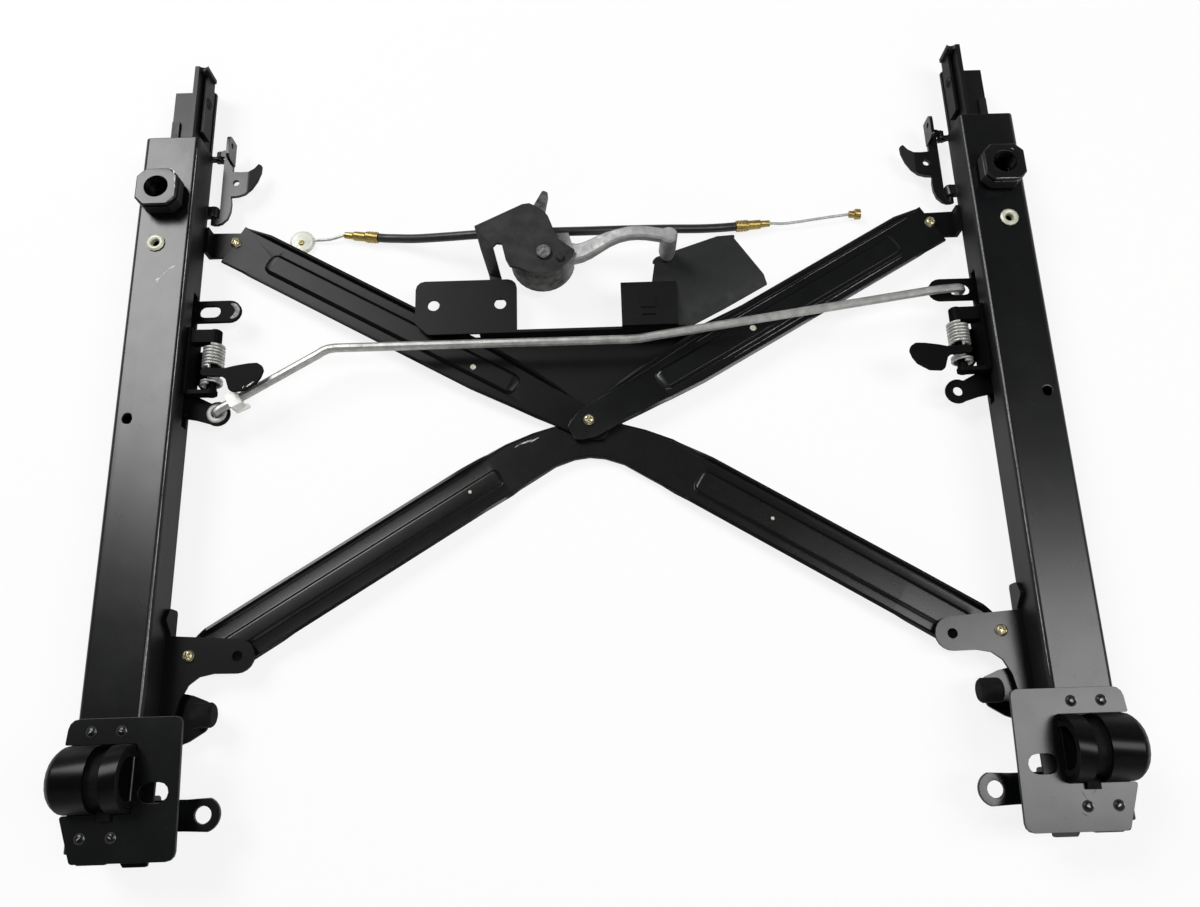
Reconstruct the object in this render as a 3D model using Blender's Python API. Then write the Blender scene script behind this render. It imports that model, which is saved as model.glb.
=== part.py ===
"""Pair of seat slide rails joined by a folded cross brace, with latches, sync rod and release cable.

X runs across the seat, Y along the rails and Z up from the floor under the lower rails.
Sizes are in millimetres, and piece() turns each form into metres.
Stations are measured forward from the rear end of the upper rails, and plan() turns them into Y.
Each side piece is drawn for the right rail and mirrored for the left one.
"""
import math

import bmesh
import bpy
from mathutils import Matrix, Vector

MM = 0.001
FIT = 0.3
SIDES = (("left", -1), ("right", 1))

# Frame as a whole
RAIL_SPACING = 456.0
REAR_REACH = 49.0
FRONT_REACH = 380.0
REAR = (FRONT_REACH - REAR_REACH) / 2
RAIL_X = RAIL_SPACING / 2

# Upper rail, a folded channel open at the bottom
BOX_WIDTH = 30.2
BOX_TOP = 30.0
BOX_BOTTOM = 9.0
BOX_WALL = 2.0
BOX_LIP = 4.6
BOX_FRONT = FRONT_REACH - 6.0
BOX_CORNER = 2.6
INNER_FACE = RAIL_X - BOX_WIDTH / 2
OUTER_FACE = RAIL_X + BOX_WIDTH / 2
SEAT_X = INNER_FACE - FIT

# Ball cage between the shelf and the outer wall
CAGE_REACH = 19.5
CAGE_LENGTH = 234.0
CAGE_WALL = 1.3
CAGE_TAIL = 7.5
BALL_RADIUS = 2.3
BALL_COUNT = 5

# Lower rail
RAIL_GAUGE = 2.4
LOWER_LENGTH = 400.0
WEB_IN = BOX_WIDTH / 2 - BOX_LIP - 3 * FIT
WEB_OUT = WEB_IN - RAIL_GAUGE
FOOT_WIDTH = 16.3
HEADROOM = 0.8
WEB_TOP = BOX_TOP - BOX_WALL - HEADROOM
SHELF_LOW = BOX_BOTTOM + BOX_WALL + CAGE_WALL + 2 * FIT
SHELF_OUT = BOX_WIDTH / 2 - BOX_WALL - 2 * FIT - 2 * BALL_RADIUS
SHELF_END = 9.0
NOTCH_PITCH = 10.0
NOTCH_WIDTH = 4.6
NOTCH_COUNT = 20
NOTCH_START = 112.0
STRAP_LENGTH = 40.0
STRAP_GAUGE = 1.6

# Nut, eyelet and hole on top of the upper rail
NUT_X, NUT_STATION = RAIL_X + 1.0, 38.2
NUT_FLATS = 22.0
NUT_CORNER = 4.4
NUT_HEIGHT = 11.0
NUT_BORE = 13.0
EYELET_X, EYELET_STATION = RAIL_X + 3.0, 66.3
EYELET_RADIUS = 5.0
EYELET_BORE = 2.2
EYELET_SHANK = 3.1
HOLE_X, HOLE_STATION, HOLE_RADIUS = OUTER_FACE - 7.3, 166.4, 2.6

# Saddle with two knuckles, its liner and the head plate over its flange
KNUCKLE_STATION = FRONT_REACH - 38.0
KNUCKLE_RADIUS = 15.0
KNUCKLE_WALL = 2.0
KNUCKLE_RISE = 22.3
INNER_KNUCKLE = (RAIL_X - 16.0, RAIL_X - 8.4)
OUTER_KNUCKLE = (RAIL_X - 1.4, RAIL_X + 18.4)
GROOVE_DEPTH = 3.4
SADDLE_GAUGE = 1.8
SADDLE_EDGE = SEAT_X - 9.6
SADDLE_BACK = FRONT_REACH - 63.0
LINER_WALL = 3.0
PLATE_GAUGE = 2.0
PLATE_LOW = BOX_TOP + FIT + SADDLE_GAUGE + FIT
PLATE_TOP = PLATE_LOW + PLATE_GAUGE
PLATE_BACK, PLATE_FRONT = FRONT_REACH - 65.0, FRONT_REACH - 2.0
PLATE_SLOT = (SEAT_X - 10.1, FRONT_REACH - 31.5, 14.0, 9.0)

# Ear bracket with its screw and buffer, and the ring ear under the head plate
EAR_LOW, EAR_GAUGE = 10.0, 2.0
EAR_HOLE = (SEAT_X - 35.8, FRONT_REACH - 94.0)
EAR_RADIUS = 8.4
EAR_SCREW = (SEAT_X - 11.6, FRONT_REACH - 94.7)
SHELF_EAR_LOW = 5.6
BUFFER_STATION, BUFFER_RADIUS, BUFFER_X = FRONT_REACH - 66.0, 6.0, (SEAT_X - 27.6, SEAT_X - 16.6)
RING_EAR = (SEAT_X - 28.5, FRONT_REACH - 20.8)
RING_EAR_RADIUS, RING_EAR_BORE, RING_EAR_LOW = 8.0, 4.0, 19.0
RING_EAR_BEND = SEAT_X - 20.6
TAB_GAUGE = 2.2

# Cross brace
BRACE_GAUGE = 1.5
V_LEVEL = 3.4
ARM_LEVEL = 5.4
CROSS_LEVEL = 7.4
ARM_HALF = 12.3
V_HALF = 12.2
V_END_HALF = 9.7
V_APEX = 165.5
FLANGE = 4.0
LIP = 0.2
BEAD_HEIGHT = 1.8
ARM_APEX, ARM_FOOT = 169.0, (SEAT_X - 13.1, 54.5)
ARM_SCREW = (SEAT_X - 15.8, 54.6)
PIVOT_STATION = 167.4
SCREW_RADIUS = 1.6
SCREW_HEAD = 3.0
SCREW_HOLE = SCREW_RADIUS + FIT

# Gusset, cable bracket and lever bracket
GUSSET_LOW = 3.6
WALL_STATION = 117.8
EAR_PLATE_TOP = 14.0
SQUARE_TOP = 18.8
CABLE_PLATE_TOP = SQUARE_TOP - BRACE_GAUGE - FIT
LEVER_PLATE_LOW, LEVER_PLATE_GAUGE = 32.2, 1.8
LEVER_PIVOT = (-21.5, 81.0)
BOSS = (45.3, 76.7)
BOSS_RADIUS = 4.6
LEVER_TOP = 42.0
HUB_BASE = 9.0
PIN_RADIUS = 2.4

# Latches and the rod that joins them
PIVOT_PIN_RADIUS = 1.0
ROCKER_X, ROCKER_STATION = INNER_FACE + BOX_WALL + FIT + PIVOT_PIN_RADIUS, 127.0
ROCKER_LIMIT = RAIL_X - WEB_IN - FIT
ROCKER_LOW, ROCKER_GAUGE = BOX_BOTTOM + 3.0, 2.2
WINDOW_BACK, WINDOW_FRONT = 90.0, 167.0
EYE = (SEAT_X - 16.4, 159.4)
EYE_RADIUS = 6.6
SLOT_LENGTH, SLOT_WIDTH = 11.7, 6.8
SLOT_EAR = (SEAT_X - 18.4, 100.2)
SLOT_EAR_RADIUS = 6.3
SLOT_MID = SEAT_X - 7.7
ROD_END = (SLOT_MID + 0.6, SLOT_EAR[1] + 0.6)
ROD_RADIUS = 2.4
ROD_LEVEL = ROCKER_LOW + ROCKER_GAUGE + FIT + ROD_RADIUS
ROD_CREST = 20.0
HORN_X, HORN_LEVEL = SEAT_X - 13.6, 18.0
HORN_PIN_RADIUS = 2.6
HORN_STATION = 138.6
HUB_WALL = 1.0
SPRING_WIRE = 0.8
SPRING_RADIUS = HORN_PIN_RADIUS + FIT + HUB_WALL + FIT + SPRING_WIRE

# Rear lock lever
BAIL_X, BAIL_LEVEL = SEAT_X - 3.0, BOX_BOTTOM
BAIL_BACK, BAIL_FRONT = -2.0, 43.0
BAIL_LUG = 3.0
BAIL_STUB = 1.5

# Release cable
CABLE_STATION = 61.0
CABLE_LEVEL = 20.0
SHEATH_RADIUS = 2.5
WIRE_RADIUS = 0.8
CABLE_SPLIT = -38.0


def plan(points):
    """Turns pairs of X and station into pairs of X and Y."""
    return [(x, REAR - station) for x, station in points]


def arc(x, y, radius, start, end, steps):
    """Points of an arc, angles in degrees, both ends included."""
    turn = [math.radians(start + (end - start) * i / steps) for i in range(steps + 1)]
    return [(x + radius * math.cos(a), y + radius * math.sin(a)) for a in turn]


def ring(x, y, radius, steps=16):
    """Closed circle as a hole or an outline."""
    return arc(x, y, radius, 0, 360 - 360 / steps, steps - 1)


def slot(x, y, length, width, steps=6):
    """Closed slot outline that runs along X."""
    reach = (length - width) / 2
    return (arc(x + reach, y, width / 2, -90, 90, steps)
            + arc(x - reach, y, width / 2, 90, 270, steps))


def rounded(points, radius, steps=3):
    """Closed outline whose corners are turned into arcs, a radius for all or one for each."""
    radii = radius if isinstance(radius, (list, tuple)) else [radius] * len(points)
    out = []
    for i, corner in enumerate(points):
        here = Vector(corner)
        before = Vector(points[i - 1]) - here
        after = Vector(points[(i + 1) % len(points)]) - here
        half = before.angle(after) / 2
        if radii[i] <= 0 or half > 1.55:
            out.append(tuple(here))
            continue
        reach = min(radii[i] / math.tan(half), 0.45 * before.length, 0.45 * after.length)
        size = reach * math.tan(half)
        middle = here + (before.normalized() + after.normalized()).normalized() * size / math.sin(half)
        first = here + before.normalized() * reach - middle
        last = here + after.normalized() * reach - middle
        sweep = first.angle_signed(last)
        for k in range(steps + 1):
            turn = Matrix.Rotation(-sweep * k / steps, 2)
            out.append(tuple(middle + turn @ first))
    return out


def lift(point, level, axis):
    """Places a flat outline point at a level along the axis."""
    u, v = point
    return {"x": (level, u, v), "y": (u, level, v), "z": (u, v, level)}[axis]


def prism(outline, low, high, axis="z", holes=()):
    """Blank of constant thickness with through holes, cut from a flat outline."""
    form = bmesh.new()
    edges = []
    for loop in (outline, *holes):
        corners = [form.verts.new(lift(p, low, axis)) for p in loop]
        edges += [form.edges.new((corners[i - 1], corners[i])) for i in range(len(corners))]
    bmesh.ops.triangle_fill(form, use_beauty=True, edges=edges)
    grown = bmesh.ops.extrude_face_region(form, geom=form.faces[:])
    moved = [v for v in grown["geom"] if isinstance(v, bmesh.types.BMVert)]
    bmesh.ops.translate(form, vec=lift((0, 0), high - low, axis), verts=moved)
    return form


def block(x0, x1, back, front, low, high):
    """Rectangular blank between two stations."""
    return prism(plan([(x0, back), (x1, back), (x1, front), (x0, front)]), low, high)


def skin(rings):
    """Closed solid through rings of as many points each, with flat ends."""
    form = bmesh.new()
    rows = [[form.verts.new(p) for p in points] for points in rings]
    count = len(rows[0])
    for a, b in zip(rows, rows[1:]):
        for i in range(count):
            form.faces.new((a[i - 1], a[i], b[i], b[i - 1]))
    form.faces.new(rows[0])
    form.faces.new(rows[-1][::-1])
    return form


def turned(profile, base, axis="z", steps=20, turn=0.0):
    """Solid of revolution from pairs of radius and height, closed on its axis."""
    rings = []
    for radius, height in profile:
        circle = arc(0, 0, max(radius, 0.01), turn, turn + 360 - 360 / steps, steps - 1)
        points = [Vector(lift(p, height, axis)) + Vector(base) for p in circle]
        rings.append(points)
    return skin(rings)


def washer(profile, base, axis="z", steps=20):
    """Ring of revolution from a closed profile of radius and height."""
    form = bmesh.new()
    rows = []
    for i in range(steps):
        a = 2 * math.pi * i / steps
        rows.append([form.verts.new(Vector(lift((r * math.cos(a), r * math.sin(a)), h, axis)) + Vector(base))
                     for r, h in profile])
    for i in range(steps):
        for k in range(len(profile)):
            form.faces.new((rows[i - 1][k - 1], rows[i - 1][k], rows[i][k], rows[i][k - 1]))
    return form


def bar(start, end, radius, steps=12):
    """Plain round bar between two points."""
    start, end = Vector(start), Vector(end)
    form = bmesh.new()
    bmesh.ops.create_cone(form, cap_ends=True, segments=steps, radius1=radius, radius2=radius,
                          depth=(end - start).length)
    spin = Vector((0, 0, 1)).rotation_difference(end - start).to_matrix().to_4x4()
    bmesh.ops.transform(form, matrix=Matrix.Translation((start + end) / 2) @ spin, verts=form.verts)
    return form


def smooth_path(points, per_span=6):
    """Catmull-Rom curve through the points."""
    ends = [Vector(points[0]) * 2 - Vector(points[1])] + [Vector(p) for p in points]
    ends.append(Vector(points[-1]) * 2 - Vector(points[-2]))
    out = []
    for a, b, c, d in zip(ends, ends[1:], ends[2:], ends[3:]):
        for k in range(per_span):
            t = k / per_span
            out.append(0.5 * (2 * b + (c - a) * t + (2 * a - 5 * b + 4 * c - d) * t * t
                              + (3 * b - a - 3 * c + d) * t ** 3))
    return out + [ends[-2]]


def bent(points, radius, sides=8):
    """Round bar or tube that follows a line of points without twisting."""
    line = [Vector(p) for p in points]
    ways = [(b - a).normalized() for a, b in zip(line, line[1:])]
    ways = [ways[0]] + [(a + b).normalized() for a, b in zip(ways, ways[1:])] + [ways[-1]]
    across = ways[0].orthogonal().normalized()
    rings = []
    for i, (point, way) in enumerate(zip(line, ways)):
        if i:
            across = ways[i - 1].rotation_difference(way) @ across
        other = way.cross(across)
        turns = [2 * math.pi * k / sides for k in range(sides)]
        rings.append([point + radius * (across * math.cos(a) + other * math.sin(a)) for a in turns])
    return skin(rings)


def helix(x, level, back, front, turns, radius, steps=8):
    """Points of a coil whose axis runs along the rail."""
    out = []
    for i in range(turns * steps + 1):
        a = 2 * math.pi * i / steps
        station = back + (front - back) * i / (turns * steps)
        out.append((x + radius * math.cos(a), REAR - station, level + radius * math.sin(a)))
    return out


def offset(points, distance):
    """Line of points moved sideways by a distance, with mitred corners."""
    line = [Vector(p) for p in points]
    ways = [(b - a).normalized() for a, b in zip(line, line[1:])]
    out = []
    for i, point in enumerate(line):
        near = [ways[k] for k in (i - 1, i) if 0 <= k < len(ways)]
        normals = [Vector((w.y, -w.x)) for w in near]
        middle = sum(normals, Vector((0, 0))).normalized()
        out.append(point + middle * distance / middle.dot(normals[0]))
    return out


def material(name, colour, roughness, metallic):
    """Principled material in the piece's own colour."""
    finish = bpy.data.materials.get(name) or bpy.data.materials.new(name)
    finish.use_nodes = True
    shader = finish.node_tree.nodes["Principled BSDF"]
    shader.inputs["Base Color"].default_value = (*colour, 1)
    shader.inputs["Roughness"].default_value = roughness
    shader.inputs["Metallic"].default_value = metallic
    finish.diffuse_color = (*colour, 1)
    return finish


def painted():
    return material("black_painted_steel", (0.035, 0.036, 0.038), 0.35, 0.0)


def gold_zinc():
    return material("yellow_zinc_steel", (0.55, 0.44, 0.2), 0.3, 1.0)


def bright_zinc():
    return material("bright_zinc_steel", (0.55, 0.55, 0.55), 0.35, 1.0)


def cast_metal():
    return material("cast_aluminium", (0.5, 0.5, 0.5), 0.45, 1.0)


def brass():
    return material("turned_brass", (0.6, 0.42, 0.12), 0.35, 1.0)


def rubber():
    return material("black_rubber", (0.03, 0.03, 0.03), 0.7, 0.0)


def nylon(colour=(0.8, 0.8, 0.78)):
    return material("white_nylon" if colour[0] > 0.5 else "black_nylon", colour, 0.45, 0.0)


def mesh_object(name, form, side, origin):
    """Blender object for a form in millimetres, mirrored for the left side."""
    if side < 0:
        bmesh.ops.scale(form, vec=(-1, 1, 1), verts=form.verts)
    place = Vector((origin[0] * side, origin[1], origin[2]))
    bmesh.ops.translate(form, vec=-place, verts=form.verts)
    bmesh.ops.scale(form, vec=(MM, MM, MM), verts=form.verts)
    bmesh.ops.remove_doubles(form, verts=form.verts, dist=1e-7)
    bmesh.ops.recalc_face_normals(form, faces=form.faces)
    mesh = bpy.data.meshes.new(name)
    form.to_mesh(mesh)
    form.free()
    item = bpy.data.objects.new(name, mesh)
    item.location = place * MM
    bpy.context.scene.collection.objects.link(item)
    return item


def piece(name, form, finish, side=1, add=(), cut=(), origin=(0, 0, 0), sharp=32):
    """One named piece, from a form, the forms joined to it and the forms cut from it."""
    item = mesh_object(name, form, side, origin)
    item.data.materials.append(finish)
    for kind, tools in (("UNION", add), ("DIFFERENCE", cut)):
        for tool_form in tools:
            tool = mesh_object(f"{name}.{kind.lower()}", tool_form, side, origin)
            tool.hide_render = True
            tool.display_type = "WIRE"
            change = item.modifiers.new(kind.title(), "BOOLEAN")
            change.operation = kind
            change.solver = "EXACT"
            change.object = tool
    item.data.shade_smooth()
    item.data.set_sharp_from_angle(angle=math.radians(sharp))
    return item


def cord(name, points, radius, finish, sides=2):
    """Flexible tube as a curve through the points."""
    data = bpy.data.curves.new(name, "CURVE")
    data.dimensions = "3D"
    data.bevel_depth = radius * MM
    data.bevel_resolution = sides
    data.use_fill_caps = True
    data.resolution_u = 1
    data.render_resolution_u = 1
    line = data.splines.new("POLY")
    line.points.add(len(points) - 1)
    for spot, point in zip(line.points, points):
        spot.co = (*(Vector(point) * MM), 1)
    data.materials.append(finish)
    item = bpy.data.objects.new(name, data)
    bpy.context.scene.collection.objects.link(item)
    return item


def spot(x, station, level):
    """Point in the frame from X, station and height."""
    return (x, REAR - station, level)


def screw(name, x, station, head_low, tip, side=1):
    """Pan head screw, standing in its hole."""
    head = SCREW_HEAD
    profile = [(0, tip), (SCREW_RADIUS, tip), (SCREW_RADIUS, head_low), (head, head_low),
               (head, head_low + 0.9), (head * 0.7, head_low + 1.7), (0, head_low + 2.0)]
    return piece(name, turned(profile, spot(x, station, 0), steps=10), gold_zinc(), side)


def upper_rail(label, side):
    """Folded channel with turned-in lips, its top holes, latch window and two lanced pivot lugs."""
    half = BOX_WIDTH / 2
    inner = half - BOX_WALL
    lip = half - BOX_LIP
    roof = BOX_TOP - BOX_WALL
    ledge = BOX_BOTTOM + BOX_WALL
    right = [(half, BOX_BOTTOM), (half, BOX_TOP)]
    outer = ([(lip, BOX_BOTTOM)] + [right[0]]
             + arc(half - BOX_CORNER, BOX_TOP - BOX_CORNER, BOX_CORNER, 0, 90, 4)
             + arc(BOX_CORNER - half, BOX_TOP - BOX_CORNER, BOX_CORNER, 90, 180, 4)
             + [(-half, BOX_BOTTOM), (-lip, BOX_BOTTOM)])
    inside = [(-lip, ledge), (-inner, ledge), (-inner, roof), (inner, roof), (inner, ledge), (lip, ledge)]
    outline = [(RAIL_X + x, z) for x, z in outer + inside]
    form = prism(outline, REAR - BOX_FRONT, REAR, "y")
    lugs = []
    for back, front in ((BAIL_BACK + 3.0, BAIL_BACK + 5.0), (BAIL_FRONT - 9.5, BAIL_FRONT - 3.0)):
        lugs.append(prism([(INNER_FACE + 0.5, BOX_BOTTOM), (INNER_FACE + 0.5, BAIL_LEVEL + BAIL_LUG),
                           *arc(BAIL_X, BAIL_LEVEL, BAIL_LUG, 90, 240, 6)],
                          REAR - front, REAR - back, "y"))
    drill = [bar(spot(NUT_X, NUT_STATION, roof - 1), spot(NUT_X, NUT_STATION, BOX_TOP + 1), NUT_BORE / 2, 20),
             bar(spot(EYELET_X, EYELET_STATION, roof - 1), spot(EYELET_X, EYELET_STATION, BOX_TOP + 1),
                 EYELET_SHANK + FIT),
             bar(spot(HOLE_X, HOLE_STATION, roof - 4), spot(HOLE_X, HOLE_STATION, BOX_TOP + 1), HOLE_RADIUS),
             block(INNER_FACE - 1, INNER_FACE + BOX_WALL + 1, WINDOW_BACK, WINDOW_FRONT, ROCKER_LOW - 0.6,
                   ROCKER_LOW + 5.4),
             bar(spot(BAIL_X, BAIL_BACK - 5, BAIL_LEVEL), spot(BAIL_X, BAIL_FRONT + 5, BAIL_LEVEL),
                 BAIL_STUB + FIT)]
    return piece(f"upper_rail_{label}", form, painted(), side, add=lugs, cut=drill)


def lower_rail(label, side):
    """Rolled section with foot, notched web and bearing shelf, and the end tab at the rear."""
    shelf_top = SHELF_LOW + RAIL_GAUGE
    foot_in = WEB_IN + 2 * FIT
    foot_out = FOOT_WIDTH - foot_in
    outline = [(-foot_in, 0), (foot_out, 0), (foot_out, RAIL_GAUGE), (-WEB_OUT, RAIL_GAUGE),
               (-WEB_OUT, SHELF_LOW), (SHELF_OUT, SHELF_LOW), (SHELF_OUT, shelf_top), (-WEB_OUT, shelf_top),
               (-WEB_OUT, WEB_TOP), (-WEB_IN, WEB_TOP), (-WEB_IN, RAIL_GAUGE), (-foot_in, RAIL_GAUGE)]
    front = REAR + REAR_REACH - LOWER_LENGTH
    form = prism([(RAIL_X + x, z) for x, z in outline], front, REAR + REAR_REACH, "y")
    web_x = RAIL_X - WEB_IN
    hook = prism([(web_x + 1, 14.0), (web_x + 1, WEB_TOP),
                  *arc(web_x - 2.4, WEB_TOP + 1.5, 3.0, -30, -150, 4), (web_x - 5.2, 14.0)],
                 REAR + REAR_REACH - RAIL_GAUGE, REAR + REAR_REACH, "y")
    strap_x = INNER_FACE + BOX_WALL + FIT
    strap_low = BOX_BOTTOM + BOX_WALL + FIT
    strap = prism([(web_x + 1, strap_low), (web_x + 1, strap_low + 3), (strap_x + STRAP_GAUGE, strap_low + 3),
                   (strap_x + STRAP_GAUGE, strap_low + 10), (strap_x, strap_low + 10), (strap_x, strap_low)],
                  REAR + REAR_REACH - STRAP_LENGTH, REAR + REAR_REACH - 0.5, "y")
    dome = turned([(0, 0), (3.6, 0), (3.2, 1.2), (2.0, 2.2), (0, 2.6)], (0, 0, 0), "x", 12)
    bmesh.ops.scale(dome, vec=(-1, 1, 1), verts=dome.verts)
    bmesh.ops.translate(dome, vec=spot(strap_x + 0.6, 18.0 - REAR_REACH, strap_low + 5.4), verts=dome.verts)
    cuts = [block(RAIL_X - WEB_OUT + 0.01, OUTER_FACE, -REAR_REACH - 1, SHELF_END - REAR_REACH,
                  SHELF_LOW - 1, shelf_top + 1)]
    for i in range(NOTCH_COUNT):
        station = NOTCH_START + i * NOTCH_PITCH
        cuts.append(block(web_x - 1, RAIL_X - WEB_OUT + 1, station - NOTCH_WIDTH / 2,
                          station + NOTCH_WIDTH / 2, shelf_top + 1.0, shelf_top + 7.0))
    return piece(f"lower_rail_{label}", form, painted(), side, add=[hook, strap, dome], cut=cuts)


def ball_cage(label, side):
    """Moulded cage that hugs the edge of the shelf, with the balls held in it."""
    edge = SHELF_OUT + FIT
    wall = BOX_WIDTH / 2 - BOX_WALL - FIT
    low, high = SHELF_LOW - FIT, SHELF_LOW + RAIL_GAUGE + FIT
    outline = [(edge - 5, low - CAGE_WALL), (wall - 1.0, low - CAGE_WALL), (wall - 1.0, high + CAGE_WALL),
               (edge - 5, high + CAGE_WALL), (edge - 5, high), (edge, high), (edge, low), (edge - 5, low)]
    back = REAR + CAGE_REACH
    form = prism([(RAIL_X + x, z) for x, z in outline], back - CAGE_LENGTH, back, "y")
    balls = []
    for i in range(BALL_COUNT):
        ball = bmesh.new()
        bmesh.ops.create_uvsphere(ball, u_segments=8, v_segments=5, radius=BALL_RADIUS)
        station = 26.0 + i * (CAGE_LENGTH - 38.0) / (BALL_COUNT - 1) - CAGE_REACH
        x = RAIL_X + (edge + wall) / 2
        bmesh.ops.translate(ball, vec=spot(x, station, (low + high) / 2), verts=ball.verts)
        balls.append(ball)
    tail = block(RAIL_X + CAGE_TAIL, OUTER_FACE, -CAGE_REACH - 1, -1.0, low - 2 * CAGE_WALL,
                 high + 2 * CAGE_WALL)
    return piece(f"ball_cage_{label}", form, nylon((0.05, 0.05, 0.05)), side, add=balls, cut=[tail])


def rail_nut(label, side):
    """Square nut with cut corners, threaded, with a groove under its top land."""
    half, cut = NUT_FLATS / 2, NUT_CORNER
    low = BOX_TOP + FIT
    top = low + NUT_HEIGHT
    rings = []
    for inset, level in ((1.2, low), (0, low + 1.6), (0, top - 3.2), (1.2, top - 2.8), (1.2, top - 1.9),
                         (0, top - 1.6), (0, top - 0.5), (0.6, top)):
        a, b = half - inset, half - inset - cut
        corners = [(a, b), (b, a), (-b, a), (-a, b), (-a, -b), (-b, -a), (b, -a), (a, -b)]
        rings.append([Vector(spot(NUT_X, NUT_STATION, level)) + Vector((u, v, 0)) for u, v in corners])
    bore = bar(spot(NUT_X, NUT_STATION, low - 1), spot(NUT_X, NUT_STATION, top + 1), NUT_BORE / 2, 20)
    return piece(f"rail_nut_{label}", skin(rings), painted(), side, cut=[bore])


def eyelet(label, side):
    """Rolled tubular rivet through the top of the rail."""
    low = BOX_TOP + FIT
    profile = [(EYELET_BORE, BOX_TOP - BOX_WALL), (EYELET_SHANK, BOX_TOP - BOX_WALL), (EYELET_SHANK, low),
               (EYELET_RADIUS, low), (EYELET_RADIUS, low + 0.5), (EYELET_RADIUS - 1.2, low + 1.2),
               (EYELET_BORE + 0.6, low + 1.0), (EYELET_BORE, low + 0.3)]
    form = washer(profile, spot(EYELET_X, EYELET_STATION, 0), steps=12)
    return piece(f"eyelet_{label}", form, bright_zinc(), side)


def head_plate(label, side):
    """Flat plate over the rail's front end, notched for the knuckles, with a slot."""
    back, front = KNUCKLE_STATION - KNUCKLE_RADIUS - FIT, KNUCKLE_STATION + KNUCKLE_RADIUS + FIT
    notch = INNER_KNUCKLE[0] - FIT
    edge, wide = SEAT_X - 20.6, OUTER_FACE + 0.9
    corners = [(edge, PLATE_BACK), (wide, PLATE_BACK), (wide + 1, back), (notch, back), (notch, front),
               (wide + 0.2, front), (wide - 7, PLATE_FRONT), (edge - 2, PLATE_FRONT)]
    radii = [3, 5, 0.8, 0.8, 0.8, 1.2, 2, 4]
    x, station, length, width = PLATE_SLOT
    form = prism(rounded(plan(corners), radii), PLATE_LOW, PLATE_TOP,
                 holes=[slot(x, REAR - station, length, width)])
    stakes = []
    back_row, front_row = PLATE_BACK + 6.0, PLATE_FRONT - 10.8
    left, right = RAIL_X - 8.5, RAIL_X + 5.5
    for sx, ss in ((left, back_row), (right, back_row), (left, front_row), (right, front_row)):
        stakes.append(turned([(0, PLATE_TOP - 0.5), (2.1, PLATE_TOP - 0.5), (2.1, PLATE_TOP + 0.4),
                              (1.2, PLATE_TOP + 0.9), (0, PLATE_TOP + 0.9)], spot(sx, ss, 0), steps=8))
    return piece(f"head_plate_{label}", form, painted(), side, add=stakes)


def arch(station, radius, foot, crown, steps=10):
    """Outline of a half-round arch on straight legs, as pairs of Y and Z."""
    y = REAR - station
    return [(y + radius, foot)] + arc(y, crown, radius, 0, 180, steps) + [(y - radius, foot)]


def hat(station, radius, wall, foot, crown):
    """Section of a bent strip that follows the arch, as pairs of Y and Z."""
    return arch(station, radius, foot, crown) + arch(station, radius - wall, foot, crown)[::-1]


def saddle(label, side):
    """Pressed bracket whose two half-round knuckles stand up through the head plate."""
    low = BOX_TOP + FIT
    crown = low + KNUCKLE_RISE - KNUCKLE_RADIUS
    inner = prism(hat(KNUCKLE_STATION, KNUCKLE_RADIUS, KNUCKLE_WALL, low, crown), *INNER_KNUCKLE, "x")
    start, end = OUTER_KNUCKLE
    dome = [(start, 0.0), (end - 5.8, 0.0), (end - 3.8, 1.1), (end - 1.8, 3.2), (end - 0.5, 5.8), (end, 8.6)]
    outer = skin([[(x, y, z) for y, z in arch(KNUCKLE_STATION, KNUCKLE_RADIUS - inset, low, crown)]
                  for x, inset in dome])
    hollow = prism(arch(KNUCKLE_STATION, KNUCKLE_RADIUS - KNUCKLE_WALL, low - 1, crown), start - 1,
                   end - 6.8, "x")
    inside = KNUCKLE_RADIUS - 1.1
    wide = OUTER_FACE - 0.1
    back = prism(rounded(plan([(SADDLE_EDGE, SADDLE_BACK), (wide, SADDLE_BACK), (wide, KNUCKLE_STATION - inside),
                               (SADDLE_EDGE, KNUCKLE_STATION - inside)]), 1.5), low, low + SADDLE_GAUGE)
    nose = FRONT_REACH - 1.4
    front = prism(rounded(plan([(SADDLE_EDGE, KNUCKLE_STATION + inside), (wide - 1, KNUCKLE_STATION + inside),
                                (wide - 8, nose), (wide - 21, nose), (wide - 23, nose - 1.8),
                                (wide - 27, nose - 1.8), (wide - 29, FRONT_REACH), (SADDLE_EDGE, FRONT_REACH)]), 1.0),
                  low, low + SADDLE_GAUGE)
    web = block(SADDLE_EDGE, INNER_KNUCKLE[0] - 0.6, KNUCKLE_STATION - inside - 2, KNUCKLE_STATION + inside + 2,
                low, low + SADDLE_GAUGE)
    return piece(f"saddle_{label}", inner, painted(), side, add=[outer, back, front, web], cut=[hollow])


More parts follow.
